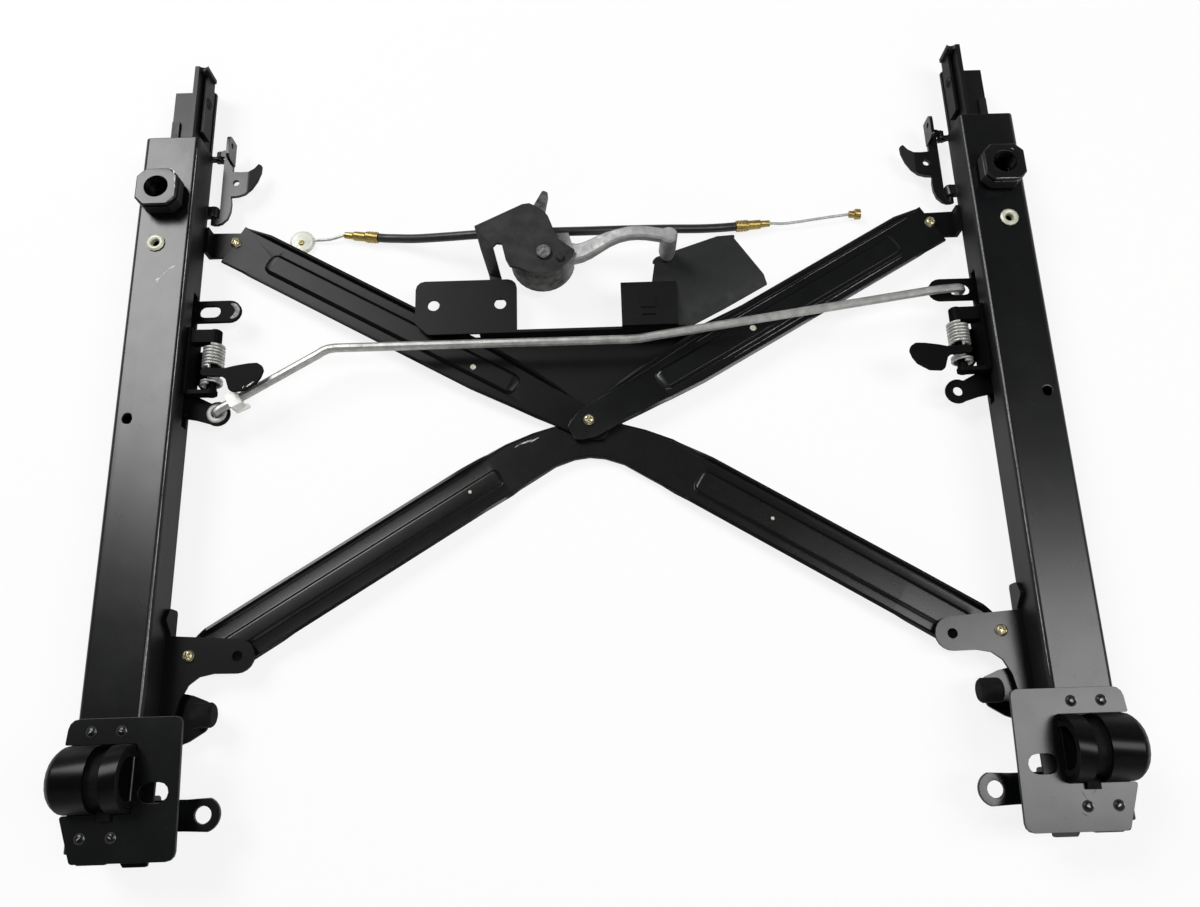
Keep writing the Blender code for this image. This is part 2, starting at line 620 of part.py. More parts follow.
def saddle_liner(label, side):
    """Half-round moulded bearing inside the knuckles, with a tongue on the head plate."""
    low = BOX_TOP + FIT
    crown = low + KNUCKLE_RISE - KNUCKLE_RADIUS
    radius = KNUCKLE_RADIUS - KNUCKLE_WALL - FIT
    form = prism(hat(KNUCKLE_STATION, radius, LINER_WALL, low, crown), INNER_KNUCKLE[0] + 0.6,
                 OUTER_KNUCKLE[1] - 6.8 - FIT, "x")
    groove = INNER_KNUCKLE[1] + FIT, OUTER_KNUCKLE[0] - FIT
    relief = prism(hat(KNUCKLE_STATION, radius + 4, 4 + radius - (KNUCKLE_RADIUS - GROOVE_DEPTH),
                       PLATE_TOP + FIT + 1.8, crown), *groove, "x")
    tongue = block(groove[0], groove[1], KNUCKLE_STATION + radius - 1.5, KNUCKLE_STATION + KNUCKLE_RADIUS + 3,
                   PLATE_TOP + FIT, PLATE_TOP + FIT + 1.8)
    return piece(f"saddle_liner_{label}", form, nylon((0.05, 0.05, 0.05)), side, add=[tongue], cut=[relief])


def ear_tab(label, side):
    """Angle with a ring ear, fixed to the rail's inner face under the head plate."""
    x, station = RING_EAR
    y = REAR - station
    half = 7.0
    ear = [(SEAT_X, y + half), (RING_EAR_BEND, y + half), *arc(x, y, RING_EAR_RADIUS, 110, 250, 12),
           (RING_EAR_BEND, y - half), (SEAT_X, y - half)]
    form = prism(ear, RING_EAR_LOW, RING_EAR_LOW + TAB_GAUGE, holes=[ring(x, y, RING_EAR_BORE, 16)])
    bmesh.ops.bisect_plane(form, geom=form.verts[:] + form.edges[:] + form.faces[:], dist=1e-4,
                           plane_co=(RING_EAR_BEND, 0, 0), plane_no=(1, 0, 0))
    for corner in form.verts:
        corner.co.z -= 0.3 * max(0.0, corner.co.x - RING_EAR_BEND)
    drop = 0.3 * (SEAT_X - RING_EAR_BEND)
    flange = prism(rounded([(y + 9, 5), (y + 9, RING_EAR_LOW + TAB_GAUGE - drop + 3),
                            (y - 9, RING_EAR_LOW + TAB_GAUGE - drop + 3), (y - 9, 5)], 3),
                   SEAT_X - TAB_GAUGE, SEAT_X, "x")
    return piece(f"ear_tab_{label}", form, painted(), side, add=[flange])


def ear_bracket(label, side):
    """Stamped bracket with the ear over the brace's end and a low shelf for the buffer."""
    x, station = EAR_HOLE
    y = REAR - station
    far, near = y + EAR_RADIUS, y - EAR_RADIUS
    ear = ([(SEAT_X, far + 2.5)] + arc(x, y, EAR_RADIUS, 90, 270, 10)
           + [(x + 11.2, near + 0.2), (x + 18.2, near - 1.2), (x + 23.2, near - 5), (x + 26.7, near - 12),
              (x + 28.7, near - 22), (SEAT_X, near - 30)])
    sx, ss = EAR_SCREW
    form = prism(ear, EAR_LOW, EAR_LOW + EAR_GAUGE,
                 holes=[ring(x, y, 2.6, 12), ring(sx, REAR - ss, SCREW_HOLE, 12)])
    middle = BUFFER_STATION
    end = BUFFER_X[0] + 4
    shelf = prism(rounded(plan([(SEAT_X, middle - 13), (end + 10, middle - 10), (end + 1.5, middle - 6.5),
                                (end, middle), (end + 2, middle + 7), (end + 10, middle + 12),
                                (SEAT_X, middle + 17)]), 3), SHELF_EAR_LOW, SHELF_EAR_LOW + EAR_GAUGE)
    flange = prism(rounded([(y + 24, SHELF_EAR_LOW), (y + 24, 15), (y + 18, 19),
                            (y + 12, EAR_LOW + EAR_GAUGE), (REAR - middle - 18, EAR_LOW + EAR_GAUGE),
                            (REAR - middle - 18, SHELF_EAR_LOW)], 2), SEAT_X - EAR_GAUGE, SEAT_X, "x")
    return piece(f"ear_bracket_{label}", form, painted(), side, add=[shelf, flange])


def buffer(label, side):
    """Round rubber stop that sits on the bracket's shelf."""
    x0, x1 = BUFFER_X
    level = SHELF_EAR_LOW + EAR_GAUGE + FIT + BUFFER_RADIUS
    profile = [(0, x0), (BUFFER_RADIUS - 1.2, x0), (BUFFER_RADIUS, x0 + 1.2), (BUFFER_RADIUS, x1 - 1.2),
               (BUFFER_RADIUS - 1.2, x1), (0, x1)]
    form = turned(profile, (0, REAR - BUFFER_STATION, level), "x", 14)
    return piece(f"buffer_{label}", form, rubber(), side)


def brace_tab(label, side):
    """Angle on the rail that carries the rear end of a brace arm."""
    x, station = ARM_SCREW
    top = ARM_LEVEL - FIT
    outline = plan([(SEAT_X, station - 7.5), (x - 7, station - 6.9), (x - 7, station + 8), (SEAT_X, station + 8)])
    form = prism(rounded(outline, [0, 3, 3, 0]), top - EAR_GAUGE, top,
                 holes=[ring(x, REAR - station, SCREW_HOLE, 12)])
    flange = block(SEAT_X - EAR_GAUGE, SEAT_X, station - 7.5, station + 8, top - EAR_GAUGE, top + 7)
    return piece(f"brace_tab_{label}", form, painted(), side, add=[flange])


def pressed_section(half_far, half_near, flange_far, flange_near, bead, rise):
    """Section of a pressed strip, from its far edge to its near edge, with its underside."""
    top = [(half_far, max(flange_far, LIP)), (half_far - 0.9, 0), (bead + 1.8, 0), (bead, rise),
           (-bead, rise), (-bead - 1.8, 0), (0.9 - half_near, 0), (-half_near, max(flange_near, LIP))]
    under = offset(top, -BRACE_GAUGE)
    return [Vector(p) for p in top] + under[::-1]


def pressed_strip(stations):
    """Solid strip through stations of point, direction and section values."""
    rings = []
    for (x, y, z), angle, values in stations:
        across = Vector((-math.sin(angle), math.cos(angle), 0))
        base = Vector((x, y, z + BRACE_GAUGE))
        rings.append([base + across * v + Vector((0, 0, h)) for v, h in pressed_section(*values)])
    return skin(rings)


def bead_marks(start, end, half):
    """Distances along a strip at which the round ends of a bead are shaped."""
    steps = (-0.1, 0.2, 1.4, half)
    return [start + step for step in steps] + [end - step for step in steps[::-1]]


def bead_at(distance, start, end, half):
    """Half width and height of a bead with round ends at a distance along the strip."""
    inside = min(distance - start, end - distance)
    if inside <= 0:
        return 0.3, 0.0
    if inside >= half:
        return half, BEAD_HEIGHT
    share = math.sqrt(1 - (1 - inside / half) ** 2)
    return max(0.3, half * share), BEAD_HEIGHT * min(1.0, inside / 2.0)


def brace_arm(name, crossing):
    """Pressed channel from the rail's tab to the middle pivot, drawn for the right side."""
    start, end = Vector((0.0, REAR - ARM_APEX)), Vector((ARM_FOOT[0], REAR - ARM_FOOT[1]))
    way = (end - start).normalized()
    angle = math.atan2(way.y, way.x)
    length = (end - start).length
    bead_start, bead_end, bead_half = 44.0, 205.0, 4.6
    marks = [-11, -8, 0, 14, 27, 40, *bead_marks(bead_start, bead_end, bead_half), 66, length - 20, length - 4,
             length - 1.5]
    marks.sort()
    stations = []
    for mark in marks:
        centre = start + way * mark
        grow = min(1.0, max(0.0, (mark - 14) / 26))
        ease = min(1.0, max(0.0, (mark - 8) / 60))
        flange = FLANGE * grow * min(1.0, max(0.0, (length - 4 - mark) / 16))
        round_end = math.sqrt(max(0.05, 1 - (max(0.0, 1 - mark) / 12.6) ** 2))
        half = max(3.8, (8.6 + (ARM_HALF - 8.6) * ease) * round_end)
        bead, rise = bead_at(mark, bead_start, bead_end, bead_half)
        level = ARM_LEVEL
        if crossing:
            level += (CROSS_LEVEL - ARM_LEVEL) * min(1.0, max(0.0, (46 - mark) / 14))
        stations.append(((centre.x, centre.y, level), angle, (half, half, flange, flange, bead, rise)))
    return pressed_strip(stations)


def brace_arms():
    """The two rear arms, the right one lying over the left one at the pivot."""
    x, station = ARM_SCREW
    for label, side in SIDES:
        screw_hole = bar(spot(x, station, 0), spot(x, station, 12), SCREW_HOLE)
        pivot = bar(spot(0, PIVOT_STATION, 0), spot(0, PIVOT_STATION, 14), SCREW_HOLE)
        piece(f"brace_arm_{label}", brace_arm(label, side > 0), painted(), side, cut=[screw_hole, pivot])


def brace_v():
    """Front brace, one stamping that runs from ear to ear through the pivot."""
    apex = Vector((0.0, REAR - V_APEX))
    foot = Vector((EAR_SCREW[0] - 0.2, REAR - EAR_SCREW[1] - 6.5))
    way = (foot - apex).normalized()
    length = (foot - apex).length
    slope = math.atan2(way.y, way.x)
    end_level = EAR_LOW - FIT - BRACE_GAUGE - LIP
    bead_end = length - 50.0

    def run(bead_start, bead_half):
        """Stations of one arm from its foot to the middle."""
        marks = sorted([length - 2, length - 18, length - 34, 120, 60, *bead_marks(bead_start, bead_end, bead_half)],
                       reverse=True)
        out = []
        for mark in marks:
            centre = apex + way * mark
            half = V_HALF + (V_END_HALF - V_HALF) * max(0.0, (mark - 70) / (length - 70))
            flange = FLANGE * min(1.0, max(0.0, (bead_end - mark) / 12)) * min(1.0, max(0.0, (mark - 48) / 20))
            level = V_LEVEL + (end_level - V_LEVEL) * min(1.0, max(0.0, (mark - 60) / (length - 112)))
            bead, rise = bead_at(mark, bead_start, bead_end, bead_half)
            out.append(((centre.x, centre.y, level), slope, (half, half, flange, flange, bead, rise)))
        middle = ((41.0, 191.2, 0.5 * slope, 13.0, 13.0), (30.0, 186.0, 0.0, 13.0, 13.5),
                  (18.0, 180.5, 0.0, 10.5, 12.0), (8.0, 175.5, 0.0, 12.5, 12.9))
        for x, station, angle, far, near in middle:
            out.append(((x, REAR - station, V_LEVEL), angle, (far, near, 0, 0, 0.3, 0)))
        return out

    left = [((-x, y, z), -angle, values) for (x, y, z), angle, values in run(56.0, 3.2)]
    stations = left + [((0.0, REAR - 173.6, V_LEVEL), 0.0, (13.6, 13.7, 0, 0, 0.3, 0))] + run(66.0, 5.2)[::-1]
    holes = [bar(spot(0, PIVOT_STATION, 0), spot(0, PIVOT_STATION, 14), SCREW_HOLE)]
    for _, side in SIDES:
        x, station = EAR_SCREW
        holes.append(bar(spot(side * x, station, 0), spot(side * x, station, 14), SCREW_HOLE))
    piece("brace_v", pressed_strip(stations), painted(), cut=holes)


def gusset():
    """Sheet between the rear arms, folded up into a wall that carries the ear plate and the square plate."""
    top = GUSSET_LOW + BRACE_GAUGE
    sheet = rounded(plan([(-66, 116.3), (56, 116.3), (96, 97), (99, 106), (67, 143), (60, 147), (0, 157.5),
                          (-60, 147), (-69, 143.5), (-78, 122)]), 3)
    form = prism(sheet, GUSSET_LOW, top)
    wall = block(-58, 54, WALL_STATION - BRACE_GAUGE, WALL_STATION, GUSSET_LOW + 0.4, EAR_PLATE_TOP)
    ear = prism(rounded(plan([(-93, 86), (-37.5, 86), (-37.5, WALL_STATION), (-86, WALL_STATION), (-93, 111)]),
                        [5, 5, 0, 3, 3]), EAR_PLATE_TOP - BRACE_GAUGE, EAR_PLATE_TOP,
                holes=[ring(-83, REAR - 100.5, 3.3), ring(-46.6, REAR - 100.5, 3.3)])
    post = block(19.4, 49.7, WALL_STATION - BRACE_GAUGE, WALL_STATION, EAR_PLATE_TOP - 1, SQUARE_TOP)
    square = block(19.4, 49.7, 92.5, WALL_STATION, SQUARE_TOP - BRACE_GAUGE, SQUARE_TOP)
    boss = prism(rounded(plan([(29.6, 100), (38, 100), (38, 107.6), (29.6, 107.6)]), 0.8), SQUARE_TOP - 0.5,
                 SQUARE_TOP + 0.7)
    lance = prism(rounded(plan([(30.5, 111.4), (38, 111.4), (38, 112.6), (30.5, 112.6)]), 0.4), SQUARE_TOP - 0.8,
                  SQUARE_TOP + 1)
    piece("gusset", form, painted(), add=[wall, ear, post, square, boss], cut=[lance])


def cable_bracket():
    """Folded plate beside the square plate, level behind its fold and sloping down in front of it."""
    fold = (Vector((34.5, REAR - 104.5)), Vector((98.0, REAR - 89.0)))
    away = Vector((fold[1].y - fold[0].y, fold[0].x - fold[1].x)).normalized()
    slope = 0.38
    behind = rounded(plan([(36.5, 81), (39, 77), (74, 65), (90, 64)]), [2, 4, 3, 3])
    ahead = plan([(99.8, 94.0), (76.0, 106.5), (56.5, 116.0), (47.0, 115.4), (44.0, 103.0)])
    form = bmesh.new()

    def corner(point):
        drop = max(0.0, (Vector(point) - fold[0]).dot(away)) * slope
        return form.verts.new((point[0], point[1], CABLE_PLATE_TOP - drop))

    left, middle, right = corner(fold[0]), corner(fold[0].lerp(fold[1], 0.27)), corner(fold[1])
    form.faces.new([left, middle, right] + [corner(p) for p in behind[::-1]])
    form.faces.new([middle, right] + [corner(p) for p in ahead])
    grown = bmesh.ops.extrude_face_region(form, geom=form.faces[:])
    moved = [v for v in grown["geom"] if isinstance(v, bmesh.types.BMVert)]
    bmesh.ops.translate(form, vec=(0, 0, -BRACE_GAUGE), verts=moved)
    hole = bar(spot(*BOSS, CABLE_PLATE_TOP - 4), spot(*BOSS, CABLE_PLATE_TOP + 1), PIN_RADIUS)
    piece("cable_bracket", form, painted(), cut=[hole])


def lever_bracket():
    """Folded plate over the lever's hub, with a leg that hooks under the ear plate and lugs for the cable."""
    low, top = LEVER_PLATE_LOW, LEVER_PLATE_LOW + LEVER_PLATE_GAUGE
    lobe = arc(-23, REAR - 74, 19, -124, -18, 10)
    back = plan([(-13.6, 73), (-16.4, 66), (-18.7, 59.3), (-20.8, 56.2), (-25.1, 53), (-28.9, 51), (-32.7, 51.5),
                 (-58.5, 64.0), (-48.4, 76.5), (-46.6, 74.6), (-43.8, 75.0), (-41.8, 84.0), (-39.6, 88.4)])
    form = prism(lobe + back, low, top, holes=[ring(LEVER_PIVOT[0], REAR - LEVER_PIVOT[1], PIN_RADIUS + FIT)])
    foot_level = EAR_PLATE_TOP - BRACE_GAUGE - FIT
    leg = []
    for left, right, level in (((-58.5, 64.0), (-48.4, 76.5), low + 0.4), ((-56.4, 72.0), (-47.2, 80.6), 24.0),
                               ((-52.8, 82.5), (-46.0, 84.0), foot_level - BRACE_GAUGE)):
        near, far = spot(*left, level), spot(*right, level)
        leg.append([near, far, Vector(far) + Vector((0, 0, BRACE_GAUGE)), Vector(near) + Vector((0, 0, BRACE_GAUGE))])
    foot = prism(plan([(-52.8, 82.3), (-46.0, 83.8), (-45.0, 97), (-51.0, 97)]), foot_level - BRACE_GAUGE,
                 foot_level)
    lugs = [block(x - 0.9, x + 0.9, CABLE_STATION - 4.4, CABLE_STATION + 5.4, CABLE_LEVEL - 5, low + 0.9)
            for x in (-42.0, -31.5)]
    stud = turned([(0, top - 0.5), (2.3, top - 0.5), (2.3, top + 1.2), (1.5, top + 2.0), (0, top + 2.0)],
                  spot(-12.8, 84.5, 0), steps=12)
    bore = bar(spot(-70, CABLE_STATION, CABLE_LEVEL), spot(-5, CABLE_STATION, CABLE_LEVEL), SHEATH_RADIUS + FIT)
    piece("lever_bracket", form, painted(), add=[skin(leg), foot, *lugs, stud], cut=[bore])


def centre_lever():
    """Cast lever: a D-shaped hub under the bracket, a finger behind it and a curved arm to the boss."""
    top = LEVER_PLATE_LOW - FIT
    hub = [(x, y) for x, y in arc(-23, REAR - 74, 17.8, -168, -12, 14)] + plan([(-8, 68.5), (-38, 68.5)])
    form = prism(hub, HUB_BASE, top)
    hollow = prism(rounded(plan([(-36, 71), (-10, 71), (-10, 76), (-23, 76), (-36, 76)]), 1), HUB_BASE - 1, top - 6)
    finger = prism(rounded(plan([(-28, 70), (-27, 52), (-21.6, 42), (-18.6, 43.5), (-20.6, 54), (-20, 70)]), 1.2),
                   top - 5, top)
    bx, bs = BOSS
    spine = [(-12, 78, 27.9), (-4.2, 79.6, 28.2), (3, 79.0, 31.6), (13, 75.6, 35.6), (24, 73.6, 38.0),
             (34, 74.2, 38.7), (bx, bs, 38.9)]
    line = smooth_path([spot(*point) for point in spine], 2)
    rings = []
    for i, centre in enumerate(line):
        way = line[min(i + 1, len(line) - 1)] - line[max(i - 1, 0)]
        side_way = Vector((-way.y, way.x, 0)).normalized()
        share = min(1.0, max(0.0, (centre.x + 12) / 30))
        half, depth = 5.5 - 2.3 * share, 7.4 - 1.6 * share
        section = rounded([(half, -depth / 2), (half, depth / 2), (-half, depth / 2), (-half, -depth / 2)], 1.0, 1)
        rings.append([centre + side_way * u + Vector((0, 0, v)) for u, v in section])
    arm = skin(rings)
    foot = CABLE_PLATE_TOP + FIT
    boss = turned([(0, foot), (2.0, foot), (2.0, foot + 1.6), (BOSS_RADIUS - 0.8, foot + 1.6),
                   (BOSS_RADIUS, foot + 6), (BOSS_RADIUS, LEVER_TOP - 1), (BOSS_RADIUS - 1, LEVER_TOP),
                   (0, LEVER_TOP)], spot(bx, bs, 0), steps=16)
    pin_hole = bar(spot(*LEVER_PIVOT, HUB_BASE - 1), spot(*LEVER_PIVOT, top + 1), PIN_RADIUS + FIT)
    piece("centre_lever", form, cast_metal(), add=[finger, arm, boss], cut=[hollow, pin_hole],
          origin=spot(*LEVER_PIVOT, HUB_BASE))


def lever_pin():
    """Headed pin that holds the lever's hub to its bracket."""
    top = LEVER_PLATE_LOW + LEVER_PLATE_GAUGE + FIT
    profile = [(0, HUB_BASE - 2.6), (4.0, HUB_BASE - 2.6), (4.0, HUB_BASE - FIT), (PIN_RADIUS, HUB_BASE - FIT),
               (PIN_RADIUS, top), (4.2, top), (4.2, top + 1.4), (3.4, top + 2.0), (0, top + 2.0)]
    piece("lever_pin", turned(profile, spot(*LEVER_PIVOT, 0), steps=12), bright_zinc())


def rocker(label, side):
    """Latch plate that turns on an upright pin in the rail, with the slotted ear and the eye."""
    x, y = ROCKER_X, REAR - ROCKER_STATION
    ex, ey = EYE[0], REAR - EYE[1]
    sx, sy = SLOT_EAR[0], REAR - SLOT_EAR[1]
    inside = INNER_FACE + 0.7
    outline = (plan([(ROCKER_LIMIT - 3.4, 93.9), (ROCKER_LIMIT - 3.2, 97), (ROCKER_LIMIT - 1.6, 112),
                     (ROCKER_LIMIT - 0.35, 122), (ROCKER_LIMIT - 0.35, 157.5), (ROCKER_LIMIT - 2.6, 161.0),
                     (EYE[0] + 10.8, 162.6)])
               + arc(ex, ey, EYE_RADIUS, -55, -300, 14)
               + plan([(EYE[0] + 11.3, 149.6), (inside, 147.4), (inside + 1.2, 144), (inside + 0.6, 132),
                       (inside + 0.4, 122), (inside, 110), (inside - 1.6, 106.5), (sx, SLOT_EAR[1] + SLOT_EAR_RADIUS)])
               + arc(sx, sy, SLOT_EAR_RADIUS, -105, -270, 8))
    holes = [ring(x, y, PIVOT_PIN_RADIUS + FIT, 12), ring(ex, ey, ROD_RADIUS + FIT, 14),
             slot(SLOT_MID, sy - 0.1, SLOT_LENGTH, SLOT_WIDTH)]
    form = prism(outline, ROCKER_LOW, ROCKER_LOW + ROCKER_GAUGE, holes=holes)
    teeth = [block(ROCKER_LIMIT - 1.5, ROCKER_LIMIT, s - 1.7, s + 1.7, ROCKER_LOW, ROCKER_LOW + ROCKER_GAUGE + 2.6)
             for s in (142, 152)]
    return piece(f"latch_rocker_{label}", form, painted(), side, add=teeth, origin=spot(x, ROCKER_STATION, 0))


def rocker_pin(label, side):
    """Upright pin inside the rail that the latch plate turns on."""
    low, top = BOX_BOTTOM + BOX_WALL + FIT, BOX_TOP - BOX_WALL - FIT
    form = bar(spot(ROCKER_X, ROCKER_STATION, low), spot(ROCKER_X, ROCKER_STATION, top), PIVOT_PIN_RADIUS, 10)
    return piece(f"rocker_pin_{label}", form, bright_zinc(), side)


def sync_rod():
    """Bent round rod from the left latch's eye to the right latch's slot, its ends turned down."""
    ex, es = EYE
    rx, rs = ROD_END
    low = ROCKER_LOW - 2.0
    route = [(-ex, es, low), (-ex, es, ROD_LEVEL - 2.6), (-ex + 0.8, es - 0.5, ROD_LEVEL - 0.7),
             (-ex + 2.6, es - 1.6, ROD_LEVEL),
             (-143.0, 129.7, ROD_CREST - 0.4), (-140.4, 128.1, ROD_CREST - 0.1), (-137.6, 127.0, ROD_CREST),
             (-134.0, 126.5, ROD_CREST), (22.0, 126.7, ROD_CREST), (28.5, 126.4, ROD_CREST),
             (35.0, 125.3, ROD_CREST), (186.0, rs + 1.6, ROD_LEVEL + 0.3),
             (194.0, rs + 0.6, ROD_LEVEL), (rx - 2.6, rs, ROD_LEVEL),
             (rx - 0.8, rs, ROD_LEVEL - 0.7), (rx, rs, ROD_LEVEL - 2.6), (rx, rs, low)]
    form = bent([spot(*p) for p in route], ROD_RADIUS, 10)
    return piece("sync_rod", form, bright_zinc(), origin=spot(-ex, es, ROCKER_LOW))


def rod_clip():
    """Moulded clip that keeps the rod on the latch's eye."""
    ex, es = EYE
    base = ROCKER_LOW + ROCKER_GAUGE + FIT
    way = Vector((ex - 143.0, 129.7 - es)).normalized()
    across = Vector((-way.y, way.x))
    start = Vector((-ex, es))

    def strip(points):
        return plan([tuple(start + way * u + across * v) for u, v in points])

    form = prism(rounded(strip([(8.2, -3.9), (15, -3.9), (15, 3.9), (8.2, 3.9)]), 1.2), base, ROD_LEVEL + 3.6)
    spring_leaf = prism(rounded(strip([(9, 3.0), (17, 4.4), (17, 6.6), (9, 5.8)]), 1.0), base, base + 2.4)
    tunnel = bent([spot(-ex + 2.6, es - 1.6, ROD_LEVEL), spot(-143.0, 129.7, ROD_CREST - 0.4)],
                  ROD_RADIUS + FIT, 12)
    return piece("rod_clip", form, nylon(), add=[spring_leaf], cut=[tunnel])


def horn_bracket(label, side):
    """U-shaped bracket on the rail with the fixed pin that carries the horn lever and its spring."""
    x, y = HORN_X, REAR
    lugs = []
    reach = HORN_PIN_RADIUS + 3 * FIT
    for back, front in ((114.2, 121.4), (148.4, 150.6)):
        lugs.append(prism([(SEAT_X, HORN_LEVEL - 3), (SEAT_X, HORN_LEVEL + 4),
                           *arc(x, HORN_LEVEL, reach, 90, 270, 8)], y - front, y - back, "y"))
    upper = block(SEAT_X - EAR_GAUGE, SEAT_X, 112.9, 150.6, HORN_LEVEL - 0.5, HORN_LEVEL + 5)
    base = prism(rounded(plan([(SEAT_X, 122), (x + 1, 122), (x + 1, 146), (x + 7, 146.2), (SEAT_X, 138)]),
                         [0, 2, 2, 2, 0]),
                 HORN_LEVEL - 10.5, HORN_LEVEL - 8.7)
    lower = block(SEAT_X - EAR_GAUGE, SEAT_X, 113.0, 145.0, HORN_LEVEL - 10.5, HORN_LEVEL)
    pin = bar(spot(x, 113.5, HORN_LEVEL), spot(x, 151.2, HORN_LEVEL), HORN_PIN_RADIUS, 12)
    return piece(f"horn_bracket_{label}", upper, painted(), side, add=[lower, base, *lugs, pin])


def horn_lever(label, side):
    """Curved release horn on a raised web over a hub ring that turns on the bracket's pin."""
    x = HORN_X
    y = REAR - HORN_STATION
    bore = HORN_PIN_RADIUS + FIT
    wall = bore + HUB_WALL
    hub = washer([(bore, -1.7), (wall, -1.7), (wall, 1.7), (bore, 1.7)], (x, y, HORN_LEVEL), "y", 14)
    low = HORN_LEVEL + SPRING_RADIUS + SPRING_WIRE + FIT
    blade = prism(rounded(plan([(x + 3, 138.2), (x - 9.8, 138.5), (x - 14.5, 137.4), (x - 21.5, 136.3),
                                (x - 26.2, 136.1), (x - 28.8, 137.8), (x - 29.6, 140.2), (x - 28.4, 144),
                                (x - 26.2, 147.4), (x - 20.2, 151.2), (x - 14, 151.6), (x - 12.3, 150.7),
                                (x - 10.2, 144.5), (x - 8, 142.8), (x + 3, 142.2)]), 1.5, 2), low, low + 2.0)
    web = block(x - 1.5, x + 1.5, HORN_STATION - 1.4, HORN_STATION + 1.4, HORN_LEVEL + bore + 0.4, low + 0.5)
    return piece(f"horn_lever_{label}", hub, painted(), side, add=[web, blade],
                 origin=spot(x, HORN_STATION, HORN_LEVEL))


def latch_spring(label, side):
    """Torsion spring on the pin, wound in two coils on either side of the horn's hub."""
    steps = 6
    first = helix(HORN_X, HORN_LEVEL, 122.7, 135.4, 6, SPRING_RADIUS, steps)
    second = helix(HORN_X, HORN_LEVEL, 141.8, 145.2, 2, SPRING_RADIUS, steps)
    tail = [(SEAT_X - EAR_GAUGE - FIT - SPRING_WIRE, REAR - 122.7, HORN_LEVEL + 0.6)]
    form = bent(tail + first + second, SPRING_WIRE, 5)
    return piece(f"latch_spring_{label}", form, bright_zinc(), side, sharp=60)


def bail(label, side):
    """Rear lock lever: a flat bar on two bent arms, with a tab, a horn and an upright end."""
    gauge = 2.2
    low = BAIL_LEVEL - gauge / 2
    inner = BAIL_X - 3.4
    outer = BAIL_X - 1.9
    x = BAIL_X - 8.8
    outline = plan([(outer, -3.8), (x + 1.6, -4.6), (x + 0.1, -2), (x, 10.4), (x - 4.8, 10.8), (x - 9, 10.6),
                    (x - 12.2, 8.6), (x - 14.6, 5.6), (x - 16.4, 6.8), (x - 16.2, 11), (x - 14.4, 16.5),
                    (x - 11.4, 21.6), (x - 7.8, 25), (x - 3.8, 26.3), (x - 0.2, 26.6), (x - 0.8, 31), (x - 0.6, 36),
                    (x + 0.8, 40.6), (x + 3.8, 43.6), (outer, 44.6), (outer, 41), (inner, 40.8), (inner, 0.2),
                    (outer, 0.2)])
    form = prism(outline, low, low + gauge, holes=[ring(x - 2.5, REAR - 17.8, 1.9, 12)])
    stubs = []
    for start, end in ((BAIL_BACK - 1.0, BAIL_BACK + 5.6), (BAIL_FRONT - 10.2, BAIL_FRONT + 1.0)):
        stubs.append(bar(spot(BAIL_X, start, BAIL_LEVEL), spot(BAIL_X, end, BAIL_LEVEL), BAIL_STUB, 10))
    for start, end in ((BAIL_BACK - 1.4, BAIL_BACK + 1.8), (BAIL_FRONT - 1.8, BAIL_FRONT + 1.4)):
        stubs.append(block(inner, BAIL_X, start, end, low, low + gauge))
    upright = prism(rounded([(REAR + 8.5, low), (REAR + 8.5, low + 11), (REAR - 6.0, low + 11), (REAR - 6.0, low)],
                            [0, 3, 3, 0]), x - 0.4, x + 1.4, "x", holes=[ring(REAR + 3.6, low + 6.8, 1.6, 10)])
    return piece(f"rear_lock_lever_{label}", form, painted(), side, add=[*stubs, upright],
                 origin=spot(BAIL_X, (BAIL_BACK + BAIL_FRONT) / 2, BAIL_LEVEL))


